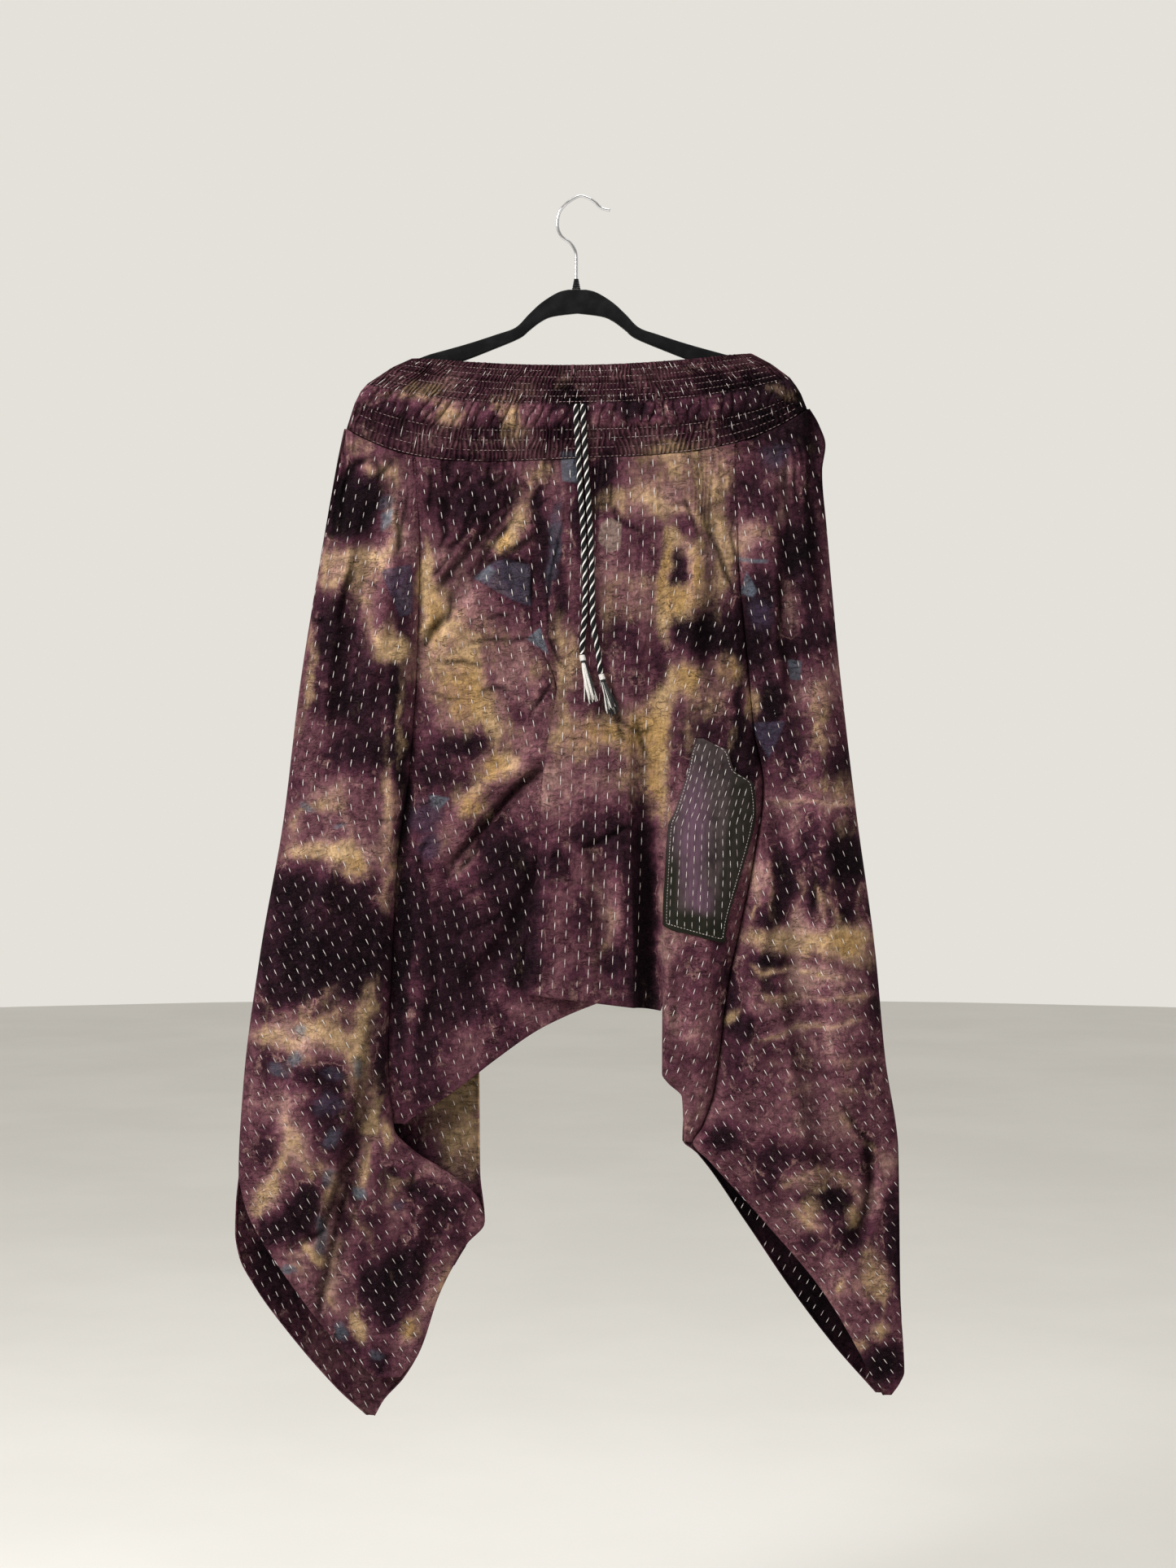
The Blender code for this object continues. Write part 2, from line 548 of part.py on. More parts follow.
def build_hanger(finish):
    outline = []
    for side in (-1, 1):
        half = [(HANGER_CENTRE + side * x, z) for x, z in HANGER_NECK_TOP]
        half += [arm_end(row, side) for row in (CASING_SEAM, UPPER_ELASTIC, CHANNEL)]
        half += [(HANGER_CENTRE + side * x, z) for x, z in HANGER_UNDER[:-1]]
        outline += half if side < 0 else half[::-1]
        if side < 0:
            outline.append((HANGER_CENTRE, HANGER_UNDER[-1][1]))
    bm = bmesh.new()
    corners = [bm.verts.new(Vector((x, -HANGER_THICKNESS / 2, z)) * MM) for x, z in outline]
    face = bm.faces.new(corners)
    made = bmesh.ops.extrude_face_region(bm, geom=[face])["geom"]
    moved = [item for item in made if isinstance(item, bmesh.types.BMVert)]
    bmesh.ops.translate(bm, verts=moved, vec=Vector((0, HANGER_THICKNESS, 0)) * MM)
    bmesh.ops.recalc_face_normals(bm, faces=bm.faces)
    rim = [edge for edge in bm.edges if abs(edge.verts[0].co.y - edge.verts[1].co.y) < 1e-6]
    bmesh.ops.bevel(bm, geom=rim, offset=1.3 * MM, segments=1, profile=0.5, affect="EDGES")
    add_object("hanger_body", bm, finish)


def wire(name, points, diameter, sides, finish):
    """Round wire or cord along a smooth curve through the points."""
    curve = bpy.data.curves.new(name, "CURVE")
    curve.dimensions = "3D"
    curve.bevel_depth = diameter / 2 * MM
    curve.bevel_resolution = sides
    curve.use_fill_caps = True
    spline = curve.splines.new("POLY")
    spline.points.add(len(points) - 1)
    for slot, point in zip(spline.points, points):
        slot.co = (*(Vector(point) * MM), 1.0)
    curve.materials.append(finish)
    obj = bpy.data.objects.new(name, curve)
    bpy.context.collection.objects.link(obj)
    return obj


def smooth_route(points, steps):
    """Points along a smooth curve that passes through the given ones."""
    route = []
    last = len(points) - 1
    for i in range(last):
        before, start = Vector(points[max(i - 1, 0)]), Vector(points[i])
        end, after = Vector(points[i + 1]), Vector(points[min(i + 2, last)])
        for step in range(steps):
            t = step / steps
            route.append(0.5 * (2 * start + (end - before) * t
                                + (2 * before - 5 * start + 4 * end - after) * t ** 2
                                + (3 * start - before - 3 * end + after) * t ** 3))
    route.append(Vector(points[-1]))
    return route


def build_collar(finish):
    """Collar round the hook's stem, a turned ring that stands on the hanger's neck."""
    stem, foot = HOOK_ROUTE[0]
    inner = HOOK_WIRE / 2 + SEAM_GAP
    bm = bmesh.new()
    corners = [bm.verts.new(Vector((stem + radius, 0, z)) * MM)
               for radius, z in ((inner, foot), (COLLAR_RADIUS, foot), (COLLAR_RADIUS, foot + 9.5),
                                 (COLLAR_RADIUS - 1, foot + 10.5), (inner, foot + 10.5))]
    edges = [bm.edges.new((corners[i], corners[(i + 1) % 5])) for i in range(5)]
    bmesh.ops.spin(bm, geom=corners + edges, cent=Vector((stem, 0, 0)) * MM, axis=(0, 0, 1),
                   angle=2 * math.pi, steps=16, use_merge=True)
    bmesh.ops.recalc_face_normals(bm, faces=bm.faces)
    add_object("hanger_collar", bm, finish)


def build_tassel(name, top, tip, finish):
    """A wrapped head with strands that hang from cells in its lower end and stand apart."""
    way = (Vector(tip) - Vector(top)) * MM
    skirt = way.length - TASSEL_HEAD * MM
    radius = TASSEL_RADIUS * MM
    bm = bmesh.new()
    bmesh.ops.create_grid(bm, x_segments=TASSEL_STRANDS, y_segments=TASSEL_STRANDS, size=1)
    for vert in bm.verts:
        a, b, _ = vert.co
        vert.co = Vector((a * math.sqrt(1 - b * b / 2), b * math.sqrt(1 - a * a / 2), 0)) * radius
    cells = list(bm.faces)
    rim = [edge for edge in bm.edges if edge.is_boundary]
    raised = bmesh.ops.extrude_edge_only(bm, edges=rim)["geom"]
    upper = [item for item in raised if isinstance(item, bmesh.types.BMVert)]
    bmesh.ops.translate(bm, verts=upper, vec=(0, 0, TASSEL_HEAD * MM))
    top_rim = [edge for edge in bm.edges if edge.is_boundary]
    bmesh.ops.contextual_create(bm, geom=top_rim)
    bmesh.ops.recalc_face_normals(bm, faces=bm.faces)
    bmesh.ops.inset_individual(bm, faces=cells, thickness=0.2 * MM, use_even_offset=True)
    steps = 3
    for step in range(steps):
        cells = bmesh.ops.extrude_discrete_faces(bm, faces=cells)["faces"]
        for index, face in enumerate(cells):
            centre = face.calc_center_median()
            length = skirt / steps * (0.86 + 0.14 * math.cos(2.4 * index))
            shift = Vector((centre.x * 0.34, centre.y * 0.08, -length))
            bmesh.ops.translate(bm, verts=face.verts, vec=shift)
    bmesh.ops.translate(bm, verts=bm.verts, vec=(0, 0, -(TASSEL_HEAD + TASSEL_GAP) * MM))
    turn = Vector((0, 0, -1)).rotation_difference(way).to_matrix()
    bmesh.ops.rotate(bm, verts=bm.verts, cent=(0, 0, 0), matrix=turn)
    bmesh.ops.translate(bm, verts=bm.verts, vec=Vector(top) * MM)
    obj = add_object(name, bm, finish)
    obj.data.set_sharp_from_angle(angle=math.radians(35))


def main():
    for obj in list(bpy.data.objects):
        bpy.data.objects.remove(obj, do_unlink=True)
    finishes = {
        "kantha": material("kantha cloth", (0.11, 0.045, 0.065), 0.9),
        "yoke": material("yoke cloth", (0.13, 0.06, 0.07), 0.9),
        "patch": material("patch cloth", (0.22, 0.2, 0.2), 0.9),
        "cord": material("twisted cord", (0.25, 0.24, 0.24), 0.85),
        "velvet": material("black velvet", (0.006, 0.006, 0.007), 0.95),
        "chrome": material("chrome wire", (0.72, 0.72, 0.74), 0.22, 1.0),
    }
    build_cloth(finishes)
    build_hanger(finishes["velvet"])
    wire("hanger_hook", smooth_route([(x, 0, z) for x, z in HOOK_ROUTE], 2), HOOK_WIRE, 2,
         finishes["chrome"])
    build_collar(finishes["velvet"])
    for word, route, tip in (("left", CORD_LEFT, TASSEL_LEFT), ("right", CORD_RIGHT, TASSEL_RIGHT)):
        wire("drawstring_" + word, smooth_route(route, 2), CORD_DIAMETER, 2, finishes["cord"])
        build_tassel("tassel_" + word, route[-1], tip, finishes["cord"])


main()
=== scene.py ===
"""Harem pants with a shirred yoke, hung by the waist on a slim velvet hanger.

The front faces -Y, +X is the viewer's right and +Z is up. Every table is in millimetres, and the
finished meshes are in metres.
"""
import math

import bmesh
import bpy
import numpy as np
from bpy.props import FloatProperty, FloatVectorProperty, IntProperty, PointerProperty
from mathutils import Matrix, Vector
from mathutils.bvhtree import BVHTree


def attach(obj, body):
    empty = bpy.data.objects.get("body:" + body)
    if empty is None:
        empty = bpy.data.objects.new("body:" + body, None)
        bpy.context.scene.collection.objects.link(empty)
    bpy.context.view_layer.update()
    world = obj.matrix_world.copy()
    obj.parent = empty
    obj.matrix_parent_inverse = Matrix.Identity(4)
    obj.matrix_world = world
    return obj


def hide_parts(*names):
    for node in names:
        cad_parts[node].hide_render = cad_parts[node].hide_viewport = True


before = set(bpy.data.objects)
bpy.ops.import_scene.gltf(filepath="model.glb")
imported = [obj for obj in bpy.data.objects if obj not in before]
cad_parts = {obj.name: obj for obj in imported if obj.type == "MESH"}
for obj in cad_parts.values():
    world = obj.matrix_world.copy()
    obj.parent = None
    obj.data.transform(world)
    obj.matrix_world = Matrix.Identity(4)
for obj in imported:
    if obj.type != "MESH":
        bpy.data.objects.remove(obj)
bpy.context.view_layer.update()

bl_info = {
    "name": "Harem pants on a hanger",
    "version": (1, 0, 0),
    "blender": (4, 5, 0),
    "location": "View3D > Sidebar > Pants",
    "description": "Cloth, stitches, drawstring and hanger of a pair of quilted harem pants",
    "category": "Add Mesh",
}

MM = 0.001
BODY = "root"
FRONT = -1
BACK = 1

# Sizes shared with the solids, in millimetres
SEAM_GAP = 0.3
YOKE_WALL = 1.3
HEM_TURN = 1.6
BLEND_END = -416.0
PLEAT_SPLIT = -808.0
PLEAT_TOP = -430.0
CROTCH_END = -932.0
HANGER_THICKNESS = 5.5
HANGER_CENTRE = -3.0
HOOK_WIRE = 3.2
CORD_DIAMETER = 5.4
STRANDS = 4
CORD_PITCH = 22.6
TASSEL_HEAD = 9.0
PANEL_TOP = -260.0

# Stitch rows run between these heights and are measured in these steps, in millimetres
ROWS_TOP = -240.0
ROWS_END = -1250.0
ROW_STEP = 2.0

# Times that a row's height is found again from its x
LEVEL_ROUNDS = 8

# Share of a turn from one thread of a tassel to the next
GOLDEN_TURN = 0.382

# In metres: between two copies of a small form, from a piece to where it is looked at, and the floor
COPY_GAP = 16
SIGHT = 0.2
FLOOR = -1.62

# Rows of the gathered waist: left end x and z, z at the middle, right end x and z,
# how fast the row leaves its ends, depth at the middle
WAIST_ROWS = (
    (-171, -162, -171, 174, -157, 2.0, 14.0),
    (-190, -170.5, -188, 193, -167, 2.4, 15.0),
    (-215, -187, -208, 212, -181, 2.8, 15.5),
    (-222, -195, -222, 218, -189, 3.2, 17.5),
    (-228, -207, -236, 223, -197, 3.5, 16.0),
    (-236, -232, -265, 229, -212, 4.0, 17.0),
)
YOKE_HEM = WAIST_ROWS[-1]

# Sewn lines across the waist, in rows of the table above
ELASTIC_LINES = (0.36, 0.72, 1.12, 1.42, 1.72, 2.0, 4.0, 4.32, 4.65, 4.97)

# The drawstring's puffed channel, in rows of the same table
CHANNEL_TOP, CHANNEL_END = 2.02, 4.0

# Outlines and fold lines of the panels: z, x
SIDE_LEFT = ((-232, -236), (-268, -244), (-367, -262), (-498, -283), (-629, -299),
             (-760, -322), (-891, -339), (-982, -344))
SIDE_RIGHT = ((-212, 229), (-229, 239), (-250, 246), (-275, 243), (-334, 248), (-465, 260),
              (-613, 277), (-760, 297), (-867, 307), (-961, 320), (-1102, 322), (-1182, 326),
              (-1194, 321), (-1205, 313))
HEM_LEFT_FRONT = ((-982, -344), (-1008, -339), (-1035, -328), (-1082, -298), (-1152, -244),
                  (-1187, -206))
HEM_LEFT_BACK = ((-982, -344), (-1018, -348), (-1043, -349), (-1068, -345), (-1100, -328),
                 (-1141, -298), (-1203, -244), (-1228, -216))
VALLEY_LEFT = ((-260, -167), (-344, -161), (-465, -164), (-572, -171), (-672, -184),
               (-789, -190), (-859, -193), (-937, -187))
FLAP_LEFT = ((-937, -187), (-959, -167), (-981, -132), (-1008, -102), (-1032, -96))
INSEAM_LEFT = ((-1032, -96), (-1054, -114), (-1103, -141), (-1165, -163), (-1187, -181))
BACK_VALLEY_LEFT = ((-260, -167), (-375, -170), (-539, -172), (-662, -168), (-744, -154),
                    (-810, -121), (-842, -109))
OPENING_LEFT = ((-842, -109), (-875, -102), (-982, -101), (-1032, -96))
BACK_TIP_LEFT = ((-1165, -163), (-1190, -178), (-1212, -198), (-1228, -207))
PLEAT_BEHIND = ((-260, -48), (-430, -49), (-485, -26), (-588, -11), (-736, 6), (-808, 24))
CROTCH_LEFT = ((-808, 24), (-822, -11), (-838, -43), (-866, -83), (-902, -130), (-932, -178))
PLEAT_EDGE = ((-260, -16), (-391, -20), (-485, -22), (-588, -34), (-670, -39), (-793, -52),
              (-808, -52))
PLEAT_RIGHT = ((-260, 70), (-350, 74), (-430, 68), (-500, 54), (-600, 50), (-700, 52),
               (-808, 54))
PANEL_FOLD = ((-260, 92), (-350, 96), (-430, 93), (-500, 88), (-617, 87), (-703, 83),
              (-882, 82), (-891, 88), (-905, 102), (-950, 104))
VALLEY_RIGHT = ((-260, 156), (-366, 159), (-465, 168), (-540, 175), (-592, 184), (-663, 175),
                (-733, 161), (-789, 149), (-895, 135), (-936, 122), (-951, 113))
HEM_RIGHT_FRONT = ((-951, 113), (-970, 130), (-1027, 182), (-1097, 241), (-1154, 276),
                   (-1191, 295), (-1205, 304))
BACK_VALLEY_RIGHT = ((-260, 156), (-375, 158), (-539, 160), (-662, 153), (-744, 141),
                     (-810, 121), (-867, 109))
HEM_RIGHT_BACK = ((-867, 109), (-902, 106), (-951, 103), (-963, 117), (-1032, 166),
                  (-1100, 212), (-1159, 257), (-1205, 298))
BACK_BOTTOM = ((-110, -841), (-60, -832), (0, -812), (40, -806), (82, -814), (115, -841))

# Whole edges of the panels, from the outlines above
LEFT_OUTER = SIDE_LEFT + HEM_LEFT_FRONT[1:]
LEFT_INNER = VALLEY_LEFT + FLAP_LEFT[1:] + INSEAM_LEFT[1:]
LEFT_BACK_OUTER = SIDE_LEFT + HEM_LEFT_BACK[1:]
LEFT_BACK_INNER = (BACK_VALLEY_LEFT + OPENING_LEFT[1:] + INSEAM_LEFT[1:-1] + BACK_TIP_LEFT[1:])
RIGHT_INNER = VALLEY_RIGHT + HEM_RIGHT_FRONT[1:]
RIGHT_BACK_INNER = BACK_VALLEY_RIGHT + HEM_RIGHT_BACK[1:]

# Depth of each panel: z, depth at its left edge, fullness at its middle, depth at its right edge
LEFT_FRONT_DEPTH = ((-260, 0, 22, 12), (-416, 0, 27, 6), (-620, 0, 30, 5), (-937, 0, 27, 5),
                    (-985, 1, 19, 8), (-1035, 9, 12, 4), (-1060, 9, 11, 1), (-1110, 9, 10, 2.4),
                    (-1187, 8, 7, 4))
RIGHT_FRONT_DEPTH = ((-260, 12, 22, 0), (-416, 6, 26, 0), (-620, 5, 30, 0), (-937, 5, 26, 0),
                     (-990, 9, 17, 0), (-1100, 9, 12, 0), (-1150, 8, 10, 2), (-1205, 6, 6, 4.5))
BELLY_DEPTH = ((-260, 12, 18, 19), (-416, 6, 20, 20), (-560, 5, 19, 15), (-700, 5, 18, 14),
               (-808, 5, 14, 13), (-870, 5, 11, 9), (-932, 5, 5, 6))
PLEAT_DEPTH = ((-260, 19, 19, 19), (-416, 23, 23, 22), (-560, 26, 27, 24), (-700, 26, 28, 24),
               (-808, 24, 25, 20))
BELLY_RIGHT_DEPTH = ((-260, 19, 20, 12), (-416, 21, 24, 6), (-620, 20, 29, 5),
                     (-808, 14, 27, 5), (-900, 8, 20, 5), (-950, 8, 8, 5))
BACK_DEPTH = ((-260, 8, 17, 8), (-500, 6, 18, 6), (-870, 6, 15, 6))
LEFT_BACK_DEPTH = ((-260, 0, 17, 8), (-500, 0, 19, 6), (-842, 0, 16, 7), (-985, 1, 12, 9),
                   (-1035, 9, 12, 4), (-1060, 9, 11, 1), (-1120, 8, 10, 2.4), (-1228, 7, 7, 4))
RIGHT_BACK_DEPTH = ((-260, 8, 17, 0), (-500, 6, 19, 0), (-867, 8, 15, 0), (-951, 9, 12, 0),
                    (-1100, 9, 11, 0), (-1150, 8, 10, 2), (-1205, 6, 6, 4.5))

# Broad folds of each panel: half width, height (a trough is below 0), then their x and z
FOLDS = {
    "left_leg_front": (
        (20, -9, (-200, -818), (-211, -907), (-234, -970), (-263, -1125)),
        (17, 6, (-236, -640), (-262, -720), (-270, -860), (-300, -960)),
        (14, -6, (-210, -300), (-222, -380), (-238, -470), (-246, -560)),
        (13, 5, (-185, -310), (-196, -420), (-214, -520)),
        (9, 4, (-222, -905), (-246, -980), (-252, -1050), (-258, -1090)),
        (8, -3, (-199, -905), (-214, -960), (-238, -1010), (-262, -1046)),
        (9, 3, (-160, -990), (-166, -1050), (-178, -1110), (-186, -1150)),
        (10, -3, (-147, -1010), (-152, -1060), (-166, -1120)),
        (11, 3, (-186, -560), (-190, -680), (-204, -800)),
    ),
    "right_leg_front": (
        (14, -7, (199, -262), (206, -350), (207, -445), (214, -540)),
        (13, -5, (236, -275), (236, -350), (240, -420)),
        (18, 6, (232, -500), (238, -640), (250, -800), (262, -900)),
        (15, -6, (205, -700), (212, -820), (232, -930), (252, -1010)),
        (12, -5, (288, -945), (290, -1008), (262, -1072)),
        (8, 3, (296, -930), (300, -1010), (282, -1080)),
        (8, 3, (176, -640), (184, -720), (176, -790), (160, -850)),
        (8, -3, (190, -600), (196, -700), (192, -760)),
        (9, 3, (150, -930), (186, -960), (220, -990)),
    ),
    "belly": (
        (15, 6, (-34, -556), (-65, -578), (-100, -599), (-134, -640)),
        (16, -7, (-34, -570), (-60, -590), (-92, -628), (-138, -690)),
        (12, -4, (-60, -282), (-92, -340), (-140, -420)),
        (12, 4, (-60, -330), (-100, -400), (-150, -470)),
        (14, -5, (-30, -650), (-70, -740), (-120, -800)),
        (8, 4, (-100, -636), (-116, -658), (-132, -684)),
        (9, 3, (-40, -700), (-74, -790), (-118, -850)),
        (8, -3, (-150, -720), (-146, -790), (-160, -860)),
    ),
    "belly_right": (
        (14, -5, (128, -290), (130, -400), (124, -500)),
        (18, 3, (134, -700), (120, -780), (108, -860)),
        (8, 3, (108, -300), (112, -400), (106, -480)),
        (8, -2.5, (92, -760), (94, -820), (90, -860)),
    ),
    "pleat": (
        (13, -5, (10, -640), (18, -700), (24, -800)),
        (8, 2.5, (-30, -640), (-38, -720), (-44, -790)),
        (7, 2.5, (36, -650), (40, -720), (40, -800)),
    ),
    "left_leg_back": (
        (20, 6, (-215, -330), (-235, -560), (-262, -800), (-280, -1000)),
        (16, -5, (-190, -420), (-205, -640), (-200, -860)),
        (9, 3, (-250, -300), (-262, -420), (-286, -620)),
        (9, -3, (-236, -640), (-246, -790), (-262, -900)),
        (10, 4, (-150, -900), (-190, -1010), (-240, -1110)),
        (9, -3, (-128, -920), (-158, -1020), (-200, -1110)),
        (9, 3, (-300, -820), (-318, -930), (-322, -1010)),
    ),
    "centre_back": (
        (24, 5, (-90, -310), (-80, -520), (-50, -740)),
        (18, -6, (-20, -300), (-10, -500), (20, -720)),
        (22, 5, (70, -330), (80, -540), (70, -760)),
        (9, 3, (-120, -300), (-128, -440), (-110, -600)),
        (9, -3, (-52, -320), (-58, -480), (-36, -640)),
        (8, 3, (30, -290), (42, -400), (40, -520)),
        (9, -3, (110, -300), (116, -460), (104, -640)),
        (9, 3, (-10, -640), (-40, -740), (-84, -810)),
    ),
    "right_leg_back": (
        (18, 6, (205, -330), (222, -560), (236, -800), (270, -1000)),
        (15, -5, (180, -460), (190, -700), (196, -900)),
        (9, 3, (238, -300), (244, -420), (256, -560)),
        (9, -3, (246, -700), (262, -830), (286, -940)),
        (10, 4, (190, -860), (230, -980), (280, -1090)),
    ),
}

# Sharp creases of each panel: width, height, then their x and z. Those with a height below 0 are also
# painted darker along their line, as painted shade
CREASES = {
    "left_leg_front": (
        (5, -3.2, (-218, -261), (-235, -276), (-241, -298)),
        (5, -3.5, (-170, -290), (-176, -318), (-181, -345), (-184, -362)),
        (5, -3.5, (-224, -360), (-235, -394), (-239, -419), (-243, -438)),
        (4, -2.2, (-272, -426), (-263, -428), (-254, -425)),
        (5, -2.4, (-205, -265), (-201, -280), (-206, -292)),
        (4, -1.6, (-210, -623), (-194, -628), (-180, -625), (-170, -617)),
        (6, -3.2, (-205, -900), (-222, -950), (-236, -1000), (-248, -1050), (-262, -1115), (-264, -1150)),
        (5, -2.7, (-222, -950), (-240, -985), (-259, -1040), (-300, -1062)),
        (5, 2.4, (-196, -870), (-208, -920), (-228, -965)),
        (4, -2, (-164, -960), (-170, -1000), (-164, -1040)),
        (4, -1.9, (-300, -1000), (-284, -1030), (-262, -1050)),
        (6, -3.6, (-205, -262), (-226, -270), (-240, -292), (-246, -322)),
        (5, -2.8, (-186, -264), (-196, -276), (-214, -290)),
        (5, -3.0, (-180, -300), (-184, -322), (-180, -350), (-186, -372)),
        (5, -2.4, (-222, -372), (-234, -398), (-240, -430)),
    ),
    "belly": (
        (5, -3.2, (-105, -291), (-91, -287), (-74, -279)),
        (4, -2.7, (-120, -276), (-124, -288), (-127, -299)),
        (5, -3.5, (-66, -306), (-74, -312), (-91, -321), (-107, -333)),
        (5, -4.1, (-98, -318), (-107, -329), (-122, -348), (-141, -362)),
        (8, -5.7, (-84, -322), (-97, -339), (-118, -365), (-134, -385), (-147, -402)),
        (6, -4.3, (-62, -317), (-74, -335), (-91, -354), (-105, -381), (-114, -394)),
        (6, -4.1, (-28, -323), (-44, -341), (-66, -356), (-91, -369), (-103, -379)),
        (5, -3.2, (-152, -270), (-149, -295), (-154, -322)),
        (5, -3.0, (-108, -276), (-114, -286), (-132, -298)),
        (5, -3.4, (-114, -292), (-103, -306), (-111, -322), (-120, -342)),
        (5, -3.0, (-68, -275), (-79, -287), (-98, -297)),
        (5, -3.6, (-64, -309), (-79, -325), (-94, -347), (-100, -370)),
        (5, -3.0, (-47, -277), (-41, -296), (-48, -312)),
        (4, -2.4, (-136, -268), (-133, -282), (-138, -300)),
        (4, -2.4, (-90, -268), (-93, -280), (-88, -296)),
        (5, -2.6, (-140, -318), (-134, -338), (-144, -362)),
        (4, -2.4, (-124, -352), (-138, -372), (-150, -386)),
        (4, -2.2, (-30, -262), (-28, -276), (-33, -292)),
        (4, -2.4, (-24, -302), (-36, -308), (-46, -316)),
        (4, -2.2, (-81, -368), (-66, -367), (-50, -371)),
        (5, -3, (-128, -396), (-130, -415), (-134, -434)),
        (8, -4.9, (-130, -417), (-149, -438), (-160, -458)),
        (6, 2.7, (-124, -421), (-142, -442), (-154, -462)),
        (4, -2.4, (-47, -373), (-49, -392), (-49, -412)),
        (4, -2.7, (-27, -486), (-40, -507), (-53, -523)),
        (5, -2.4, (-140, -300), (-134, -316), (-142, -330)),
        (4, -2, (-100, -428), (-80, -422), (-62, -424)),
        (4, -2, (-120, -452), (-92, -446), (-66, -448), (-48, -442)),
        (4, -1.9, (-146, -470), (-118, -468), (-92, -474)),
        (4, -1.9, (-104, -500), (-84, -494), (-64, -498)),
        (4, -1.6, (-150, -500), (-130, -506), (-112, -504)),
        (6, 3.5, (-40, -566), (-68, -588), (-98, -622), (-130, -664)),
        (5, -4.3, (-34, -572), (-62, -592), (-95, -630), (-126, -668), (-142, -700)),
        (4, -3.2, (-104, -640), (-100, -652), (-112, -668), (-128, -684)),
        (4, -1.6, (-60, -700), (-86, -726), (-120, -740)),
        (4, -1.6, (-70, -668), (-96, -690), (-138, -716)),
        (4, -1.9, (-150, -640), (-160, -660), (-164, -690)),
        (3, 1.6, (-16, -287), (-21, -333), (-32, -377), (-36, -407), (-35, -444), (-24, -469),
         (-9, -481)),
    ),
    "right_leg_front": (
        (5, -3.0, (206, -262), (204, -290), (208, -330), (205, -362)),
        (4, -2.6, (226, -262), (228, -292), (224, -330)),
        (4, -2.4, (198, -372), (200, -420), (196, -470)),
        (4, 2.0, (214, -404), (226, -382), (233, -398)),
        (4, -2.7, (234, -270), (246, -300), (242, -330)),
        (4, -2.4, (216, -262), (214, -290), (219, -320)),
        (4, 1.9, (237, -684), (240, -706), (240, -732)),
        (4, -2.4, (230, -660), (234, -690), (230, -724)),
        (4, 1.6, (174, -668), (170, -690), (171, -712)),
        (4, 1.6, (188, -664), (191, -690), (188, -710)),
        (3, 1.6, (179, -845), (196, -839), (215, -829)),
        (3, 1.9, (171, -773), (182, -784), (212, -776), (236, -779)),
        (5, -3.2, (286, -939), (291, -987), (286, -1022), (269, -1062)),
        (4, 2.7, (175, -970), (205, -999), (234, -1032), (262, -1071), (290, -1116), (314, -1142),
         (323, -1159)),
        (4, -2.2, (256, -900), (276, -936), (300, -960)),
    ),
    "belly_right": (
        (4, -3.0, (124, -306), (132, -342), (146, -380), (160, -410)),
        (4, -2.4, (102, -300), (110, -322), (120, -350)),
        (3, -2, (160, -300), (150, -340), (158, -372), (172, -402)),
        (4, -2.2, (118, -300), (128, -340), (146, -372)),
        (4, -1.6, (100, -520), (128, -514), (150, -520)),
    ),
    "pleat": (
        (4, -2.4, (54, -520), (60, -548), (70, -570)),
        (4, -2.4, (30, -500), (40, -528), (58, -540), (78, -534)),
        (3, -2.2, (-13, -287), (-18, -333), (-29, -377), (-33, -407), (-32, -444), (-21, -469),
         (-6, -481)),
        (4, -3, (28, -272), (30, -296), (32, -313), (37, -326), (55, -336), (73, -343)),
        (4, -1.9, (14, -312), (24, -311), (32, -314)),
        (4, -1.9, (26, -470), (32, -500), (34, -520), (42, -545), (54, -552)),
        (5, -3.5, (57, -628), (38, -638), (17, -649), (-8, -659)),
        (4, -2.7, (-36, -668), (-22, -660), (-14, -668), (-12, -686)),
        (4, -1.9, (-26, -682), (-14, -686), (-2, -690)),
        (3, -1.6, (20, -452), (34, -454), (52, -452)),
    ),
    "left_leg_back": (
        (5, -2, (-240, -300), (-230, -340), (-236, -390)),
        (5, -2, (-190, -290), (-200, -330), (-196, -370)),
        (5, -1.8, (-262, -560), (-232, -596), (-200, -612)),
        (5, -2, (-300, -760), (-262, -796), (-216, -806)),
        (5, -2, (-150, -950), (-196, -980), (-240, -1040)),
    ),
    "centre_back": (
        (5, -2.2, (-70, -290), (-92, -322), (-126, -352)),
        (5, -2.2, (0, -286), (-20, -330), (-52, -366)),
        (5, -2.2, (54, -288), (70, -330), (66, -380)),
        (5, -2, (120, -300), (104, -350), (108, -396)),
        (5, -2, (-130, -480), (-90, -512), (-36, -520)),
        (5, -2, (140, -560), (96, -600), (40, -610)),
        (5, -2.2, (-120, -690), (-70, -700), (-14, -740)),
        (5, -1.8, (30, -700), (60, -730), (76, -780)),
    ),
    "right_leg_back": (
        (5, -2, (206, -290), (196, -330), (204, -380)),
        (5, -2, (170, -520), (206, -556), (246, -566)),
        (5, -2, (176, -760), (216, -800), (270, -806)),
        (5, -2, (150, -950), (200, -980), (262, -1030)),
    ),
}

# Lines along which a panel dips into the shade
VALLEYS = {"left_leg_front": (VALLEY_LEFT,), "belly": (VALLEY_LEFT, PLEAT_EDGE),
           "belly_right": (VALLEY_RIGHT,), "right_leg_front": (VALLEY_RIGHT,)}
